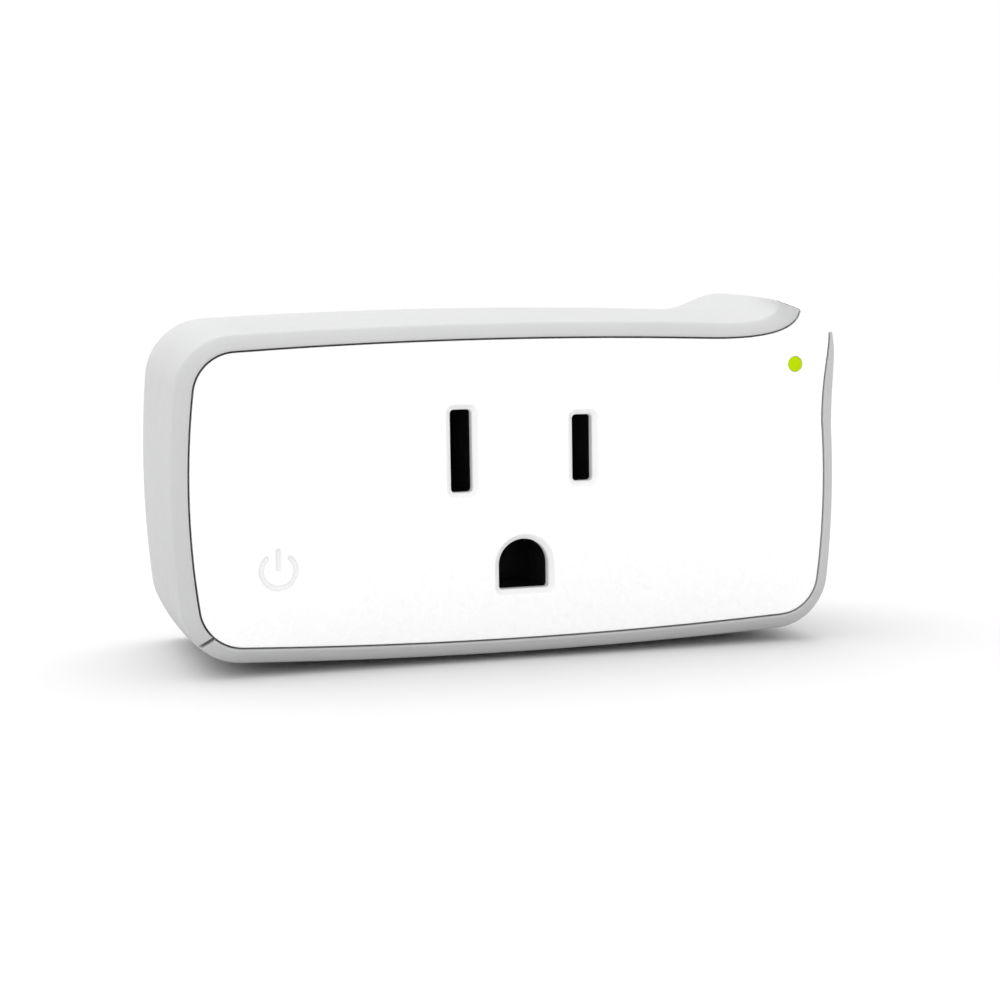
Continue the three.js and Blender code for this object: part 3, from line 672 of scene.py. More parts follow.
LOW_SPAN = (9.0, 10.0)
HIGH_SPAN = (2.05, 2.85)
STRIP_LOW = 2.0  # the strip runs from the shoulder to the crest
STRIP_HIGH = 3.0
BUTTON_HIGH = 2.9
LOW_SPEED = 6.0  # mm along the outline for each unit of s, just below the shoulder
STRIP_SPEED = 9.0
PAST_CREST_SPEED = 7.0
CREST_SOFT = 0.4  # the pocket's edge at the crest is rounded this much of the usual
STRIP_ROWS = LIP_ROWS + len(BUTTON_DEPTHS) + 2


def pocket_edge_columns(s0, speed, rows, under=0, way=PRESS, share=1.0):
    """Columns that round an edge of the strip's pocket, from the edge outward."""
    return [
        Column(
            lambda place, e=along: s0 + share * e / speed, under=under,
            down=down * share, down_way=way, down_rows=rows,
        )
        for along, down in FILLET
    ]


def fixed_columns(values, under=0):
    return [Column(lambda place, v=value: v, under=under) for value in values]


def upper_columns():
    past = PART_GAP / 2 + FILLET[-1][0]
    after_button = BUTTON_HIGH + FILLET[-1][0] / STRIP_SPEED
    after_crest = STRIP_HIGH + FILLET[-1][0] / PAST_CREST_SPEED
    strip = up_to(BUTTON_HIGH, HIGH_PARTING, past, HIGH_SPAN, 6, under=ALL_ROWS)
    low_end = up_to(9.0, LOW_PARTING, -past, LOW_SPAN, 12)
    return [
        *end_columns(HIGH_PARTING, 1, HIGH_SPAN, ALL_ROWS),
        *reversed(strip),
        *fixed_columns([BUTTON_HIGH], ALL_ROWS),
        *pocket_edge_columns(BUTTON_HIGH, STRIP_SPEED, (LIP_ROWS, STRIP_ROWS), LIP_ROWS),
        *fixed_columns(steps(after_button, STRIP_HIGH, 3, False), LIP_ROWS),
        *pocket_edge_columns(
            STRIP_HIGH, PAST_CREST_SPEED, (0, LIP_ROWS), way=LIP_SIDE, share=CREST_SOFT,
        ),
        *fixed_columns(steps(after_crest, 4, 30, False)),
        *fixed_columns([s for s in OUTLINE_STEPS if 4 < s <= 9]),
        *low_end,
        *reversed(end_columns(LOW_PARTING, -1, LOW_SPAN, 0)),
    ]


def lower_columns():
    past = PART_GAP / 2 + FILLET[-1][0]
    before_low = STRIP_LOW - FILLET[-1][0] / LOW_SPEED
    strip = up_to(STRIP_LOW, HIGH_PARTING, -past, HIGH_SPAN, 6, under=ALL_ROWS)
    return [
        *end_columns(LOW_PARTING, 1, LOW_SPAN, 0),
        *reversed(up_to(10.0, LOW_PARTING, past, LOW_SPAN, 12)),
        *fixed_columns([s for s in OUTLINE_STEPS if s >= 10]),
        *fixed_columns([s for s in OUTLINE_STEPS if s <= 1]),
        *fixed_columns(steps(1, before_low, 18, False)[:-1]),
        *reversed(pocket_edge_columns(STRIP_LOW, -LOW_SPEED, (0, STRIP_ROWS))),
        *fixed_columns([STRIP_LOW], ALL_ROWS),
        *strip,
        *reversed(end_columns(HIGH_PARTING, -1, HIGH_SPAN, ALL_ROWS)),
    ]


def casing_half(name, columns):
    shell = Shell()
    loops = shell.tube(column.points() for column in columns)
    shell.flat(loops[0])
    shell.flat(loops[-1])
    half = make(name, shell)
    combine(half, peg("stem_way", *STEM_WAY, BUTTON_STEM + STEM_CLEAR), "DIFFERENCE")
    smooth(half)
    return half


# ---------------------------------------------------------------- openings

def rounded_box(width, height, radius, x=0.0, z=0.0, count=6):
    half_x, half_z = width / 2 - radius, height / 2 - radius
    quarter = math.pi / 2
    centres = [(half_x, half_z), (-half_x, half_z), (-half_x, -half_z), (half_x, -half_z)]
    return [
        on_circle((x + cx, z + cz), radius, quarter * (i + j / count))
        for i, (cx, cz) in enumerate(centres)
        for j in range(count + 1)
    ]


def ground_outline(grow):
    """Round above and flat below, with softened lower corners."""
    x, z = GROUND_HOLE
    soft = 0.35 + grow * 0.7
    radius = GROUND_RADIUS + grow
    low = z - GROUND_BELOW - grow
    left, right = (x - radius + soft, low + soft), (x + radius - soft, low + soft)
    return [
        *[on_circle((x, z), radius, math.pi * i / 32) for i in range(33)],
        *[on_circle(left, soft, math.pi * (1 + i / 12)) for i in range(7)],
        *[on_circle(right, soft, math.pi * (1.5 + i / 12)) for i in range(7)],
    ]


def slot_outline(slot, grow):
    x, z, width, height = slot
    return rounded_box(width + 2 * grow, height + 2 * grow, SLOT_CORNER + grow * 0.85, x, z)


OPENINGS = (
    lambda grow: slot_outline(NEUTRAL_SLOT, grow),
    lambda grow: slot_outline(HOT_SLOT, grow),
    ground_outline,
)
MOUTH_DEPTH = 1.55  # the openings' white walls end here, at the core's black bosses
OPENING_PROFILE = (
    (0.87, 0.0), (0.58, 0.0), (0.545, 0.006), (0.51, 0.03), (0.46, 0.07), (0.26, 0.26),
    (0.07, 0.45), (0.03, 0.495), (0.006, 0.535), (0.0, 0.6), (0.0, 1.2), (0.0, MOUTH_DEPTH),
    (0.8, MOUTH_DEPTH), (0.8, PLATE_THICK),
)


def mark_ring(grow):
    """An open ring with round ends."""
    half = MARK_STROKE / 2 + grow
    start = math.pi / 2 + MARK_OPENING
    end = math.pi * 2.5 - MARK_OPENING
    centre = (MARK_X, MARK_Z)
    tip_end = on_circle(centre, MARK_RADIUS, end)
    tip_start = on_circle(centre, MARK_RADIUS, start)
    outer = [on_circle(centre, MARK_RADIUS + half, mix(start, end, i / 48)) for i in range(49)]
    round_end = [on_circle(tip_end, half, end + math.pi * i / 10) for i in range(1, 10)]
    inner = [on_circle(centre, MARK_RADIUS - half, mix(end, start, i / 48)) for i in range(49)]
    round_start = [
        on_circle(tip_start, half, start + math.pi * (1 + i / 10)) for i in range(1, 10)
    ]
    return [*outer, *round_end, *inner, *round_start]


def mark_stroke(grow):
    height = MARK_RADIUS * 1.3
    return rounded_box(
        MARK_STROKE + 2 * grow, height + 2 * grow, (MARK_STROKE / 2 + grow) * 0.98,
        MARK_X, MARK_Z + height / 2, 8,
    )


MARK_PROFILE = (
    (0.13, 0.0), (0.06, 0.0), (0.03, 0.012), (0.0, 0.05), (-0.02, 0.12), (-0.05, 0.2),
    (-0.09, 0.26), (-0.14, MARK_DEPTH),
)


# middles and half sizes of the areas that hold the openings and the mark, whose mouths get painted
# shade
SHADED_RECESSES = (
    (NEUTRAL_SLOT[0], 0.0, 3.0, 6.0), (HOT_SLOT[0], 0.0, 3.0, 6.0), (*GROUND_HOLE, 4.0, 4.0),
    (MARK_X, MARK_Z, 3.0, 3.2),
)

# ---------------------------------------------------------------- front plate

POSTS = [
    (x * POST_X, CENTRE_Z + z * POST_Z) for x, z in ((-1, 1), (1, 1), (1, -1), (-1, -1))
]
LIP_LOW = STRIP_LOW + STRIP_MARGIN / STRIP_SPEED
LIP_HIGH = STRIP_HIGH - 0.5 * STRIP_MARGIN / STRIP_SPEED
LIP_MIDDLE = 2.4  # a depth halfway along the lip's outside
PLATE_BACK_IN = 3.4  # the rim ends this far inside the plate's outline
LENS_BORE = LENS_RADIUS + 0.02
LENS_WAY = (
    (LENS_BORE + 0.2, 0.0), (LENS_BORE + 0.06, 0.0), (LENS_BORE + 0.02, 0.015), (LENS_BORE, 0.06),
    (LENS_BORE, PLATE_THICK),
)
POST_PROFILE = (
    (POST_RADIUS, PLATE_THICK), (POST_RADIUS, POST_BACK - 0.2), (POST_RADIUS - 0.2, POST_BACK),
    (POST_HOLE + 0.1, POST_BACK), (POST_HOLE, POST_BACK - 0.15),
    (POST_HOLE, BODY_DEPTH - SCREW_LENGTH - 3),
)


def plate_rows():
    """Rows of the plate's rim: the place along the open rim, and the place on the lip."""
    edge = -SEAM_PLATE
    lip = [
        lambda s: plate_point(s, 0.02, 0.0),
        lambda s: plate_point(s, 0.14, 0.0),
        lambda s: plate_point(s, 0.2, 0.006),
        *[lambda s, u=u: bevel_point(s, u) for u in BEVEL_SHARES],
        *[lambda s, u=u: soft_edge_point(s, u) for u in SOFT_TURNS],
        on_wall(LIP_MIDDLE),
        *[
            lambda s, e=e, k=k: wall_point(s, LIP_DEPTH - e) + lip_way(s) * k
            for e, k in reversed(FILLET)
        ],
        lambda s: wall_point(s, LIP_DEPTH) + lip_way(s) * LIP_THICK,
        lambda s: with_depth(wall_point(s, LIP_DEPTH) + lip_way(s) * LIP_THICK, PLATE_THICK),
    ]
    rim = [(edge - 0.09, 0.01), (edge - 0.045, 0.035), (edge - 0.012, 0.085)]
    rim += [(edge, mix(0.15, PLATE_THICK, i / (len(lip) - 4))) for i in range(len(lip) - 3)]
    rows = [
        (lambda s, g=grow: plate_point(s, g, 0.0),) * 2 for grow in (edge - 0.5, edge - 0.18)
    ]
    for (grow, depth), on_lip in zip(rim, lip):
        rows.append((lambda s, g=grow, d=depth: plate_point(s, g, d), on_lip))
    rows.append((lambda s: plain_point(s, -PLATE_BACK_IN, -PLATE_BACK_IN, PLATE_THICK),) * 2)
    return rows


def plate_columns():
    """The s of each column of the rim, and whether it is on the lip."""
    before = [s for s in OUTLINE_STEPS if s < LIP_LOW - 0.02]
    between = [s for s in OUTLINE_STEPS if LIP_LOW + 0.02 < s < LIP_HIGH - 0.02]
    after = [s for s in OUTLINE_STEPS if s > LIP_HIGH + 0.02]
    return [
        *[(s, False) for s in (*before, LIP_LOW)],
        *[(s, True) for s in (LIP_LOW, *between, LIP_HIGH)],
        *[(s, False) for s in (LIP_HIGH, *after)],
    ]


def front_plate():
    shell = Shell()
    columns = plate_columns()
    rim = shell.tube([row[on_lip](s) for s, on_lip in columns] for row in plate_rows())
    front_holes, back_holes = [], []
    for opening in OPENINGS:
        loops = shell.tube(at_depth(opening(grow), depth) for grow, depth in OPENING_PROFILE)
        front_holes.append(loops[0])
        back_holes.append(loops[-1])
    for outline in (mark_ring, mark_stroke):
        loops = shell.tube(at_depth(outline(grow), depth) for grow, depth in MARK_PROFILE)
        shell.flat(loops[-1])
        front_holes.append(loops[0])
    lens_way = shell.tube(ring(LENS_X, LENS_Z, radius, depth) for radius, depth in LENS_WAY)
    front_holes.append(lens_way[0])
    back_holes.append(lens_way[-1])
    for x, z in POSTS:
        post = shell.tube(ring(x, z, radius, depth, 32) for radius, depth in POST_PROFILE)
        shell.faces.append(tuple(post[-1]))
        back_holes.append(post[0])
    shell.flat(rim[0], *front_holes)
    shell.flat(rim[-1], *back_holes)
    return make("front_panel", shell)


def paint_recess_shade(plate, finish):
    """Gives the mouths of the openings and the mark their matt finish, in a darker white that is
    painted shade for the recesses.
    """
    plate.data.materials.append(finish)
    depth_of = {v.index: v.co.y / MM - FRONT for v in plate.data.vertices}
    for face in plate.data.polygons:
        depths = [depth_of[i] for i in face.vertices]
        centre = face.center / MM
        inside = any(
            abs(centre.x - x) < half_x and abs(centre.z - z) < half_z
            for x, z, half_x, half_z in SHADED_RECESSES
        )
        if inside and max(depths) > 0.004 and min(depths) < PLATE_THICK - 0.05:
            face.material_index = 1


# ---------------------------------------------------------------- outlet core

CORE_FRONT = 2.3
CORE_BACK = 17.5
CORE_SIDE = 11.4
CORE_LOW = -17.3
CORE_HIGH = 7.0
BOSS_FRONT = MOUTH_DEPTH + 0.05  # a boss round each mouth stands forward into the plate
SHADE_SHEET_DEPTH = 7.4  # depth of the black shutters behind the openings, dark sheets that stand in for the shade deep inside them
SHADE_SHEET_SLOPE = 0.35
CAVITY_FRONT = 8.9
CORE_PROFILE = (  # outside the core's outline, and depth
    (-0.5, CORE_FRONT), (-0.2, CORE_FRONT), (-0.06, CORE_FRONT + 0.06), (0.0, CORE_FRONT + 0.2),
    (0.0, CORE_BACK - 0.2), (-0.2, CORE_BACK), (-0.5, CORE_BACK),
)
MOUTH_CLEAR = 0.02
MOUTH_PROFILE = (
    (0.66, CORE_FRONT), (0.66, BOSS_FRONT + 0.06), (0.6, BOSS_FRONT), (0.12, BOSS_FRONT),
    (0.03, BOSS_FRONT + 0.03), (MOUTH_CLEAR, BOSS_FRONT + 0.1), (MOUTH_CLEAR, 4.0),
    (MOUTH_CLEAR, SHADE_SHEET_DEPTH - 1.0),
)


def core_outline(grow):
    height = CORE_HIGH - CORE_LOW + 2 * grow
    return rounded_box(2 * (CORE_SIDE + grow), height, 0.6 + grow, 0.0, (CORE_LOW + CORE_HIGH) / 2)


def outlet_core():
    """The moulded core: three mouths closed by sloping black shutters, dark sheets that stand in
    for the shade deep inside the openings, and cavities behind for the contacts."""
    shell = Shell()
    body = shell.tube(at_depth(core_outline(grow), depth) for grow, depth in CORE_PROFILE)
    mouths, cavities = [], []
    for opening in OPENINGS:
        outline = opening(MOUTH_CLEAR)
        centre_x = sum(x for x, _ in outline) / len(outline)
        # a black sheet across each mouth: painted shade for the depth of the opening
        shade_sheet = [
            Vector((x, FRONT + SHADE_SHEET_DEPTH + SHADE_SHEET_SLOPE * (x - centre_x), z)) for x, z in outline
        ]
        sides = [at_depth(opening(grow), depth) for grow, depth in MOUTH_PROFILE]
        mouth = shell.tube([*sides, shade_sheet])
        shell.flat(mouth[-1])
        mouths.append(mouth[0])
    for outline in (
        rounded_box(5.4, 9.4, 0.5, NEUTRAL_X),
        rounded_box(5.4, 9.4, 0.5, HOT_X),
        circle((OUTLET_X, GROUND_Z), 4.0),
    ):
        loops = shell.tube(at_depth(outline, depth) for depth in (CORE_BACK, CAVITY_FRONT))
        shell.flat(loops[-1])
        cavities.append(loops[0])
    shell.flat(body[0], *mouths)
    shell.flat(body[-1], *cavities)
    return make("outlet_core", shell)


# ---------------------------------------------------------------- button and lens

BUTTON_OVER = 0.12  # the button reaches this much further forward and back than the CAD's
BUTTON_EDGE = (  # along the face, and down
    (0.0, BUTTON_THICK), (0.0, 0.34), (0.03, 0.2), (0.09, 0.09), (0.2, 0.02), (0.34, 0.0),
)


def button_cap():
    """The strip of the raised corner that is pressed: a rounded patch of the casing's outside."""
    low, high = LIP_LOW, BUTTON_HIGH - STRIP_MARGIN / STRIP_SPEED
    across = [(low + e / STRIP_SPEED, k) for e, k in BUTTON_EDGE]
    across += [(s, 0.0) for s in steps(low + 0.08, high - 0.08, 14)]
    across += [(high - e / STRIP_SPEED, k) for e, k in reversed(BUTTON_EDGE)]
    front, back = BUTTON_FRONT - BUTTON_OVER, BUTTON_BACK + BUTTON_OVER
    along = [(front + e, k) for e, k in BUTTON_EDGE]
    along += [(depth, 0.0) for depth in steps(front + 0.9, back - 0.9, 20)]
    along += [(back - e, k) for e, k in reversed(BUTTON_EDGE)]
    shell = Shell()
    shell.tube((
        [wall_point(s, depth) + PRESS * max(k, m) for s, k in across] for depth, m in along
    ), closed=False)
    shell.tube((
        [wall_point(s, depth) + PRESS * BUTTON_THICK for s, _ in across] for depth, _ in along
    ), closed=False)
    cap = make("button_cap", shell)
    combine(cap, peg("stem", *STEM, BUTTON_STEM), "UNION")
    smooth(cap)
    return cap


def status_lens():
    rounded = [(LENS_RADIUS * math.sin(a), 0.16 - 0.14 * math.cos(a)) for a in steps(0, 1.45, 9)]
    profile = [
        *rounded, (LENS_RADIUS, 0.2), (LENS_RADIUS, LENS_LENGTH - 0.1),
        (LENS_RADIUS - 0.1, LENS_LENGTH), (0, LENS_LENGTH),
    ]
    return turned("lens", profile, LENS_X, LENS_Z)


# ---------------------------------------------------------------- rear cover and screws

EDGE_PROFILE = ((0.45, 0.0), (0.16, 0.0), (0.08, 0.02), (0.02, 0.08), (0.0, 0.16))
COVER_INSET = WALL + 0.18
WAY_CLEAR = 0.2  # round the blades and the pin
WELL_RADIUS = SCREW_HEAD + 0.25
WELL_FLOOR = BODY_DEPTH - SCREW_HEAD_DEPTH - SCREW_SUNK - 0.02
SHANK_WAY = SCREW_SHANK + 0.3
WELL_PROFILE = (
    *[(WELL_RADIUS + grow, BODY_DEPTH - down) for grow, down in EDGE_PROFILE],
    (WELL_RADIUS, WELL_FLOOR), (SHANK_WAY, WELL_FLOOR), (SHANK_WAY, REAR_FRONT),
)


def blade_way(x, width, grow):
    more = 2 * (WAY_CLEAR + grow)
    return rounded_box(BLADE_THICK + more, width + more, 2 * WAY_CLEAR + grow, x)


PLUG_WAYS = (
    lambda grow: blade_way(-BLADE_X, NEUTRAL_BLADE_WIDTH, grow),
    lambda grow: blade_way(BLADE_X, HOT_BLADE_WIDTH, grow),
    lambda grow: circle((0, GROUND_Z), PIN_RADIUS + WAY_CLEAR + grow),
)


def rear_cover():
    side, top = crown(REAR_EDGE)

    def edge(grow, depth):
        out_side, out_top = side - COVER_INSET + grow, top - COVER_INSET + grow
        return [plain_point(s, out_side, out_top, depth) for s in OUTLINE_STEPS]

    shell = Shell()
    rounded = [edge(-grow, BODY_DEPTH - down) for grow, down in reversed(EDGE_PROFILE)]
    rim = shell.tube([edge(-0.9, REAR_FRONT), edge(0.0, REAR_FRONT), *rounded])
    inner, outer = [], []
    for x, z in POSTS:
        well = shell.tube(ring(x, z, radius, depth) for radius, depth in WELL_PROFILE)
        outer.append(well[0])
        inner.append(well[-1])
    for way in PLUG_WAYS:
        mouth = [at_depth(way(grow), BODY_DEPTH - down) for grow, down in EDGE_PROFILE]
        loops = shell.tube([*mouth, at_depth(way(0.0), REAR_FRONT)])
        outer.append(loops[0])
        inner.append(loops[-1])
    shell.flat(rim[0], *inner)
    shell.flat(rim[-1], *outer)
    return make("rear_panel", shell)


SCREW_DOME = 0.42
DOME_ANGLE = 1.2
THREAD_PITCH = 0.55
THREAD_DEEP = 0.22
RECESS_REACH = 1.15
RECESS_HALF = 0.2


def case_screw(name, x, z):
    """A pan-head screw with a cross recess and a threaded shank."""
    top = BODY_DEPTH - SCREW_SUNK
    under = top - SCREW_HEAD_DEPTH
    spread_out = SCREW_HEAD / math.sin(DOME_ANGLE)
    rise = SCREW_DOME / (1 - math.cos(DOME_ANGLE))
    dome = [
        (spread_out * math.sin(a), top - rise * (1 - math.cos(a)))
        for a in steps(0, DOME_ANGLE, 8)
    ]
    profile = [*dome, (SCREW_HEAD, under + 0.12), (SCREW_HEAD - 0.12, under), (SCREW_SHANK, under)]
    for i in range(int((SCREW_LENGTH - 2.6) / THREAD_PITCH)):
        depth = under - 0.5 - i * THREAD_PITCH
        profile += [
            (SCREW_SHANK - THREAD_DEEP, depth), (SCREW_SHANK, depth - THREAD_PITCH * 0.4),
            (SCREW_SHANK, depth - THREAD_PITCH * 0.5),
        ]
    tip = top - SCREW_LENGTH
    profile += [(SCREW_SHANK - 0.3, tip + 0.8), (0.12, tip + 0.05), (0, tip)]
    screw = turned(name, profile, x, z, 40)
    for reach_x, reach_z in ((RECESS_REACH, RECESS_HALF), (RECESS_HALF, RECESS_REACH)):
        shell = Shell()
        shell.cap(shell.tube(
            at_depth(rounded_box(2 * reach_x * k, 2 * reach_z * k, 0.12, x, z, 3), depth)
            for k, depth in ((1.15, top + 0.4), (1.0, top - 0.05), (0.62, top - 0.75))
        ))
        combine(screw, make("recess", shell), "DIFFERENCE")
    soften(screw, 0.03, 2)
    return screw


# ---------------------------------------------------------------- blades and ground pin

BLADE_PROFILE = (  # depth, share of the thickness, and how much less each side reaches
    (FLANGE_FRONT, 1.0, 0.0), (BLADE_BACK - 2.3, 1.0, 0.0), (BLADE_BACK - 1.6, 0.9, 0.14),
    (BLADE_BACK - 0.9, 0.74, 0.42), (BLADE_BACK, 0.45, 1.1),
)
BLADE_HOLE = 1.55  # radius
HOLE_FROM_TIP = 5.5


def contact_tail(x, z):
    depths = (TAIL_FRONT, FLANGE_FRONT + 0.2)
    return box("tail", (x - TAIL[0], x + TAIL[0]), depths, (z - TAIL[1], z + TAIL[1]))


def blade(name, x, width):
    """A flat blade with softened edges, a tapered tip, a hole and a flange at its root."""
    shell = Shell()
    sections = []
    for depth, share, less in BLADE_PROFILE:
        half, high = BLADE_THICK * share / 2, width / 2 - less
        corners = [(x + half, -high), (x + half, high), (x - half, high), (x - half, -high)]
        sections.append(at_depth(corners, depth))
    shell.cap(shell.tube(sections))
    made = make(name, shell)
    root = BLADE_THICK / 2 + FLANGE_GROW
    high = width / 2 + FLANGE_GROW
    flange_depths = (FLANGE_FRONT - 0.02, FLANGE_BACK)
    combine(made, box("flange", (x - root, x + root), flange_depths, (-high, high)), "UNION")
    combine(made, contact_tail(x, 0.0), "UNION")
    hole = turned("hole", [(0, 0), (BLADE_HOLE, 0), (BLADE_HOLE, 6), (0, 6)])
    turn = Matrix.Rotation(math.pi / 2, 4, "Z")
    place = Matrix.Translation(Vector((x + 3, FRONT + BLADE_BACK - HOLE_FROM_TIP, 0)) * MM)
    hole.data.transform(place @ turn @ Matrix.Translation(Vector((0, -FRONT, 0)) * MM))
    combine(made, hole, "DIFFERENCE")
    soften(made, 0.14, 3)
    return made


def ground_pin():
    dome = [
        (PIN_RADIUS * math.cos(a), PIN_BACK - PIN_RADIUS + PIN_RADIUS * math.sin(a))
        for a in steps(0, math.pi / 2, 14)
    ]
    root = PIN_RADIUS + FLANGE_GROW
    profile = [
        (0, FLANGE_FRONT), (root - 0.15, FLANGE_FRONT), (root, FLANGE_FRONT + 0.15),
        (root, FLANGE_BACK - 0.15), (root - 0.15, FLANGE_BACK), (PIN_RADIUS + 0.15, FLANGE_BACK),
        (PIN_RADIUS, FLANGE_BACK + 0.15),
        *[(PIN_RADIUS, BODY_DEPTH + further) for further in (0.0, 5.0, 11.0)],
        *dome[:-1], (0, PIN_BACK),
    ]
    pin = turned("pin", profile, 0.0, GROUND_Z, 64)
    combine(pin, contact_tail(0.0, GROUND_Z), "UNION")
    smooth(pin)
    return pin


# ---------------------------------------------------------------- materials

def add_node(tree, kind, **values):
    node = tree.nodes.new(kind)
    for key, value in values.items():
        if hasattr(node, key):
            setattr(node, key, value)
        else:
            node.inputs[key.replace("_", " ")].default_value = value
    return node


def object_coordinates(tree, stretch=(1, 1, 1)):
    """Object coordinates in millimetres, stretched."""
    coordinates = add_node(tree, "ShaderNodeTexCoord")
    mapping = add_node(tree, "ShaderNodeMapping", Scale=[1 / MM * k for k in stretch])
    tree.links.new(coordinates.outputs["Object"], mapping.inputs["Vector"])
    return mapping.outputs["Vector"]


def noise(tree, scale, detail=2.0, stretch=(1, 1, 1)):
    """Noise with a scale in cycles per millimetre."""
    made = add_node(tree, "ShaderNodeTexNoise", Scale=scale, Detail=detail)
    tree.links.new(object_coordinates(tree, stretch), made.inputs["Vector"])
    return made.outputs["Fac"]


NOISE_LOW, NOISE_HIGH = 0.3, 0.7  # nearly all of a noise's values lie between these


def spread(tree, value, low, high):
    """Maps a noise to a range."""
    made = add_node(tree, "ShaderNodeMapRange", To_Min=low, To_Max=high)
    made.inputs["From Min"].default_value = NOISE_LOW
    made.inputs["From Max"].default_value = NOISE_HIGH
    tree.links.new(value, made.inputs["Value"])
    return made.outputs["Result"]


def tint(tree, value, first, second):
    """A colour that runs between two with a noise."""
    ramp = add_node(tree, "ShaderNodeValToRGB")
    ramp.color_ramp.elements[0].position = NOISE_LOW
    ramp.color_ramp.elements[1].position = NOISE_HIGH
    ramp.color_ramp.elements[0].color = (*first, 1)
    ramp.color_ramp.elements[1].color = (*second, 1)
    tree.links.new(value, ramp.inputs["Fac"])
    return ramp.outputs["Color"]


def bump(tree, layers):
    """Stacks bumps: (height, distance in millimetres, strength)."""
    normal = None
    for height, distance, strength in layers:
        made = add_node(tree, "ShaderNodeBump", Strength=strength, Distance=distance * MM)
        tree.links.new(height, made.inputs["Height"])
        if normal:
            tree.links.new(normal, made.inputs["Normal"])
        normal = made.outputs["Normal"]
    return normal


def material(name, first, second, rough, patch=0.12, grain=None, stretch=(1, 1, 1), **sockets):
    """A surface whose colour varies a little in patches and whose roughness varies between two
    values, with a fine grain: (cycles per mm, height in mm, strength)."""
    made = bpy.data.materials.new(name)
    made.use_nodes = True
    tree = made.node_tree
    shader = tree.nodes["Principled BSDF"]
    for key, value in sockets.items():
        shader.inputs[key.replace("_", " ")].default_value = value
    made.diffuse_color = (*first, 1)
    tree.links.new(tint(tree, noise(tree, patch), first, second), shader.inputs["Base Color"])
    blotch = noise(tree, patch * 6, 4, stretch)
    tree.links.new(spread(tree, blotch, *rough), shader.inputs["Roughness"])
    if grain:
        scale, height, strength = grain
        fine = noise(tree, scale, 3, stretch)
        tree.links.new(bump(tree, [(fine, height, strength)]), shader.inputs["Normal"])
    return made


def grey(value, warm=0.0):
    return value + warm, value, value - warm


plate_white = material(
    "white_gloss", grey(0.93), grey(0.915, 0.001), (0.24, 0.32), grain=(3.0, 0.002, 0.2),
    Specular_IOR_Level=0.5,
)
# matt, and a darker white than the plate: painted shade on the walls of the openings and the mark
recess_shade_white = material(
    "matt_white_painted_shade", grey(0.86), grey(0.85), (0.45, 0.55), grain=(5.0, 0.01, 0.4),
)
casing_grey = material(
    "grey_satin", (0.508, 0.51, 0.511), (0.498, 0.5, 0.501), (0.5, 0.6), grain=(7.0, 0.008, 0.5),
    Specular_IOR_Level=0.25,
)
lens_lime = material(
    "lime_lens", (0.46, 0.655, 0.0005), (0.45, 0.64, 0.0005), (0.45, 0.55), grain=(2.0, 0.004, 0.2),
    Specular_IOR_Level=0.03,
)
black_plastic = material(
    "black_plastic", grey(0.006), grey(0.004), (0.3, 0.42), grain=(6.0, 0.01, 0.5),
)
nickel = material(
    "nickel", (0.69, 0.67, 0.63), (0.62, 0.6, 0.56), (0.2, 0.36), patch=0.2,
    grain=(9.0, 0.006, 0.6), stretch=(1, 0.06, 1), Metallic=1.0,
)
brass = material(
    "brass", (0.74, 0.53, 0.24), (0.62, 0.43, 0.18), (0.26, 0.44), patch=0.25,
    grain=(9.0, 0.006, 0.5), stretch=(1, 0.1, 1), Metallic=1.0,
)
steel = material(
    "steel", grey(0.5), grey(0.4), (0.28, 0.46), patch=0.4, grain=(8.0, 0.008, 0.6), Metallic=1.0,
)
tin = material(
    "tin", grey(0.58), grey(0.5), (0.28, 0.4), patch=0.15, grain=(10.0, 0.006, 0.5),
    stretch=(0.1, 1, 1), Metallic=1.0,
)
relay_blue = material(
    "relay_blue", (0.03, 0.11, 0.36), (0.026, 0.1, 0.33), (0.36, 0.48), grain=(6.0, 0.01, 0.5),
)
film_yellow = material(
    "film_yellow", (0.62, 0.36, 0.03), (0.56, 0.32, 0.026), (0.34, 0.5), grain=(1.2, 0.03, 0.5),
)
disc_blue = material(
    "disc_blue", (0.025, 0.09, 0.32), (0.02, 0.07, 0.27), (0.2, 0.4), grain=(1.0, 0.05, 0.6),
)
ferrite = material(
    "ferrite", grey(0.04), grey(0.028), (0.6, 0.8), patch=0.6, grain=(5.0, 0.03, 0.8),
)
sleeve_black = material(
    "sleeve_black", grey(0.02), grey(0.014), (0.22, 0.34), grain=(1.5, 0.01, 0.3),
)


def striped(made, scale, distance, strength):
    """Adds fine ridges, such as turns of wire, to a material."""
    tree = made.node_tree
    shader = tree.nodes["Principled BSDF"]
    wave = add_node(tree, "ShaderNodeTexWave", Scale=scale, Distortion=0.4, Detail=1.0)
    tree.links.new(object_coordinates(tree), wave.inputs["Vector"])
    normal = bump(tree, [(wave.outputs["Fac"], distance, strength)])
    tree.links.new(normal, shader.inputs["Normal"])
    return made


winding = striped(
    material("winding", (0.66, 0.42, 0.06), (0.6, 0.37, 0.05), (0.3, 0.46), patch=0.5),
    scale=1.3, distance=0.1, strength=0.7,
)


MASK_GREEN = (0.012, 0.13, 0.04)


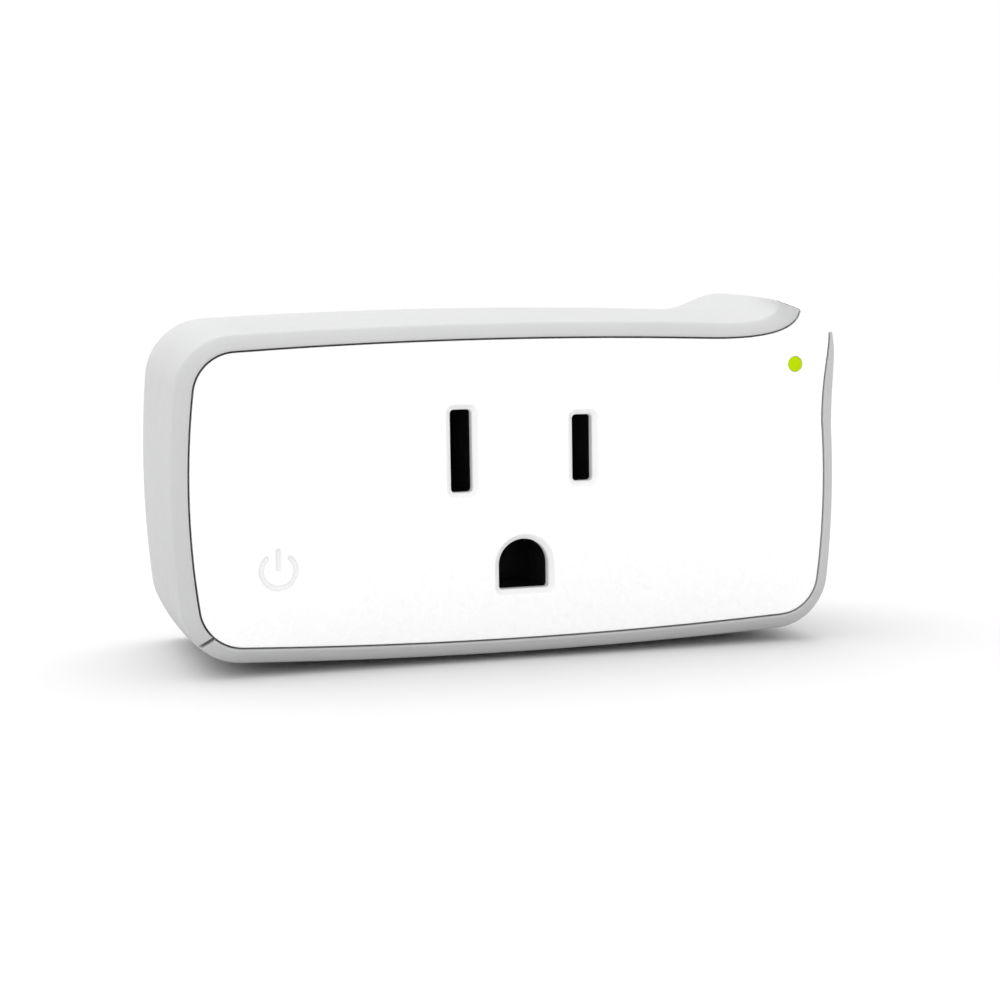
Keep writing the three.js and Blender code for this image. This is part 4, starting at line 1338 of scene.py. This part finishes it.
def board_material():
    """Solder mask with faint tracks under it."""
    made = material("board_green", MASK_GREEN, (0.01, 0.11, 0.035), (0.28, 0.42), patch=0.3)
    tree = made.node_tree
    shader = tree.nodes["Principled BSDF"]
    brick = add_node(
        tree, "ShaderNodeTexBrick", Scale=0.5, Mortar_Size=0.06, Color1=(*MASK_GREEN, 1),
        Color2=(0.016, 0.16, 0.05, 1), Mortar=(0.03, 0.24, 0.08, 1),
    )
    mapping = add_node(tree, "ShaderNodeMapping", Rotation=(math.pi / 2, 0, 0))
    tree.links.new(object_coordinates(tree), mapping.inputs["Vector"])
    tree.links.new(mapping.outputs["Vector"], brick.inputs["Vector"])
    tree.links.new(brick.outputs["Color"], shader.inputs["Base Color"])
    normal = bump(tree, [(brick.outputs["Fac"], 0.03, 0.5)])
    tree.links.new(normal, shader.inputs["Normal"])
    return made


board_green = board_material()

led_white = material(
    "led_body", grey(0.7, 0.01), grey(0.66, 0.01), (0.3, 0.4), grain=(4.0, 0.01, 0.3),
)

CARRIED_OVER = (
    (black_plastic, (
        "switch_plunger", "switch_body", "receptacle_retainer", "blade_carrier", "board_header",
        "bridge_rectifier", "power_chip",
    )),
    (board_green, ("control_board", "main_board", "radio_board")),
    (brass, (
        "neutral_contact", "hot_contact", "ground_contact", "neutral_bus", "load_bus", "line_bus",
        "ground_bus",
    )),
    (steel, ("carrier_screw_1", "carrier_screw_2")),
    (tin, ("radio_shield", "fuse")),
    (ferrite, ("transformer_core", "line_inductor")),
    (winding, ("transformer_winding",)),
    (sleeve_black, ("bulk_capacitor", "output_capacitor")),
    (led_white, ("status_led",)),
    (relay_blue, ("relay",)),
    (film_yellow, ("film_capacitor",)),
    (disc_blue, ("varistor",)),
)


def paint(piece, finish):
    piece.data.materials.clear()
    piece.data.materials.append(finish)


for finish, node_names in CARRIED_OVER:
    for node_name in node_names:
        paint(cad_nodes[node_name], finish)


def place(piece, finish, body, node, slot):
    """Finishes a piece, sets it to move with a body and to stand for a CAD node."""
    paint(piece, finish)
    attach(piece, body)
    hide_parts(node)


upper_half = casing_half("casing_upper", upper_columns())
place(upper_half, casing_grey, "housing", "upper_casing", "casing")
lower_half = casing_half("casing_lower", lower_columns())
place(lower_half, casing_grey, "housing", "lower_casing", "casing")
front_panel = front_plate()
place(front_panel, plate_white, "housing", "front_plate", "plate")
paint_recess_shade(front_panel, recess_shade_white)
place(outlet_core(), black_plastic, "housing", "receptacle_core", "core")
place(status_lens(), lens_lime, "housing", "status_lens", "lens")
place(rear_cover(), casing_grey, "housing", "rear_cover", "casing")
for number, (post_x, post_z) in enumerate(POSTS, 1):
    screw_piece = case_screw(f"screw_{number}", post_x, post_z)
    place(screw_piece, steel, "housing", f"case_screw_{number}", "screw")
place(button_cap(), plate_white, "button", "power_button", "button")
wide_blade = blade("blade_neutral", -BLADE_X, NEUTRAL_BLADE_WIDTH)
place(wide_blade, nickel, "housing", "neutral_blade", "blade")
narrow_blade = blade("blade_hot", BLADE_X, HOT_BLADE_WIDTH)
place(narrow_blade, nickel, "housing", "hot_blade", "blade")
place(ground_pin(), nickel, "housing", "ground_pin", "blade")


# ---------------------------------------------------------------- floor, light and camera

CONTACT_DEPTH = 19.0  # where the crowned underside touches the floor
FLOOR_SLOPE = -0.0358
FLOOR_REACH = 1600.0


def floor_height(y):
    contact_y = FRONT + CONTACT_DEPTH
    contact_z = CENTRE_Z - PLATE_HALF_HEIGHT - crown(CONTACT_DEPTH)[1]
    return contact_z + FLOOR_SLOPE * (y - contact_y)


def floor():
    shell = Shell()
    across = steps(-FLOOR_REACH, FLOOR_REACH, 8)
    shell.tube(([(x, y, floor_height(y)) for x in across] for y in across), closed=False)
    made = make("floor", shell)
    if made.data.polygons[0].normal.z < 0:
        made.data.flip_normals()
    paint(made, material("floor_white", grey(0.7), grey(0.695), (0.8, 0.9), patch=0.004))


def area_light(name, place, target, size, power):
    light = bpy.data.lights.new(name, "AREA")
    light.shape = "RECTANGLE"
    light.size, light.size_y = size
    light.energy = power
    made = add_object(name, light)
    made.location = place
    made.rotation_euler = (Vector(target) - Vector(place)).to_track_quat("-Z", "Y").to_euler()


def broad_light(name, towards, strength, spread_degrees):
    """A soft light without falloff, shining from a direction."""
    light = bpy.data.lights.new(name, "SUN")
    light.energy = strength
    light.angle = math.radians(spread_degrees)
    made = add_object(name, light)
    made.rotation_euler = Vector(towards).to_track_quat("Z", "Y").to_euler()


def studio():
    world = bpy.data.worlds.new("studio")
    world.use_nodes = True
    background = world.node_tree.nodes["Background"]
    background.inputs["Color"].default_value = (1, 1, 1, 1)
    background.inputs["Strength"].default_value = 1.0
    bpy.context.scene.world = world
    broad_light("overhead", (-0.08, 0.45, 1.0), 1.62, 74)
    broad_light("left", (-0.9, -0.1, 0.1), 0.24, 60)
    area_light("front_left", (-0.4, -0.83, 0.03), (0, -0.02, 0), (0.7, 0.6), 2.1)
    area_light("front_low", (-0.1, -0.75, -0.012), (0, -0.02, -0.02), (1.2, 0.012), 12.0)
    scene = bpy.context.scene
    scene.view_settings.view_transform = "Standard"
    scene.view_settings.look = "None"
    scene.view_settings.exposure = 0.0
    scene.view_settings.gamma = 1.0


CAMERA_PLACE = (-52.02, -214.89, 14.97)
CAMERA_YAW = math.radians(15.284)
CAMERA_PITCH = math.radians(6.103)
CAMERA_ROLL = math.radians(-0.894)
CAMERA_LENS = 66.18


def camera():
    data = bpy.data.cameras.new("camera")
    data.sensor_width = 36.0
    data.lens = CAMERA_LENS
    data.clip_start = 0.005
    data.clip_end = 20.0
    made = add_object("camera", data)
    forward = Vector((
        math.sin(CAMERA_YAW) * math.cos(CAMERA_PITCH),
        math.cos(CAMERA_YAW) * math.cos(CAMERA_PITCH),
        -math.sin(CAMERA_PITCH),
    ))
    level = Vector((math.cos(CAMERA_YAW), -math.sin(CAMERA_YAW), 0))
    upright = level.cross(forward)
    right = level * math.cos(CAMERA_ROLL) + upright * math.sin(CAMERA_ROLL)
    up = upright * math.cos(CAMERA_ROLL) - level * math.sin(CAMERA_ROLL)
    turn = Matrix((right, up, -forward)).transposed().to_4x4()
    made.matrix_world = Matrix.Translation(Vector(CAMERA_PLACE) * MM) @ turn
    bpy.context.scene.camera = made


floor()
studio()
camera()

bpy.context.view_layer.update()
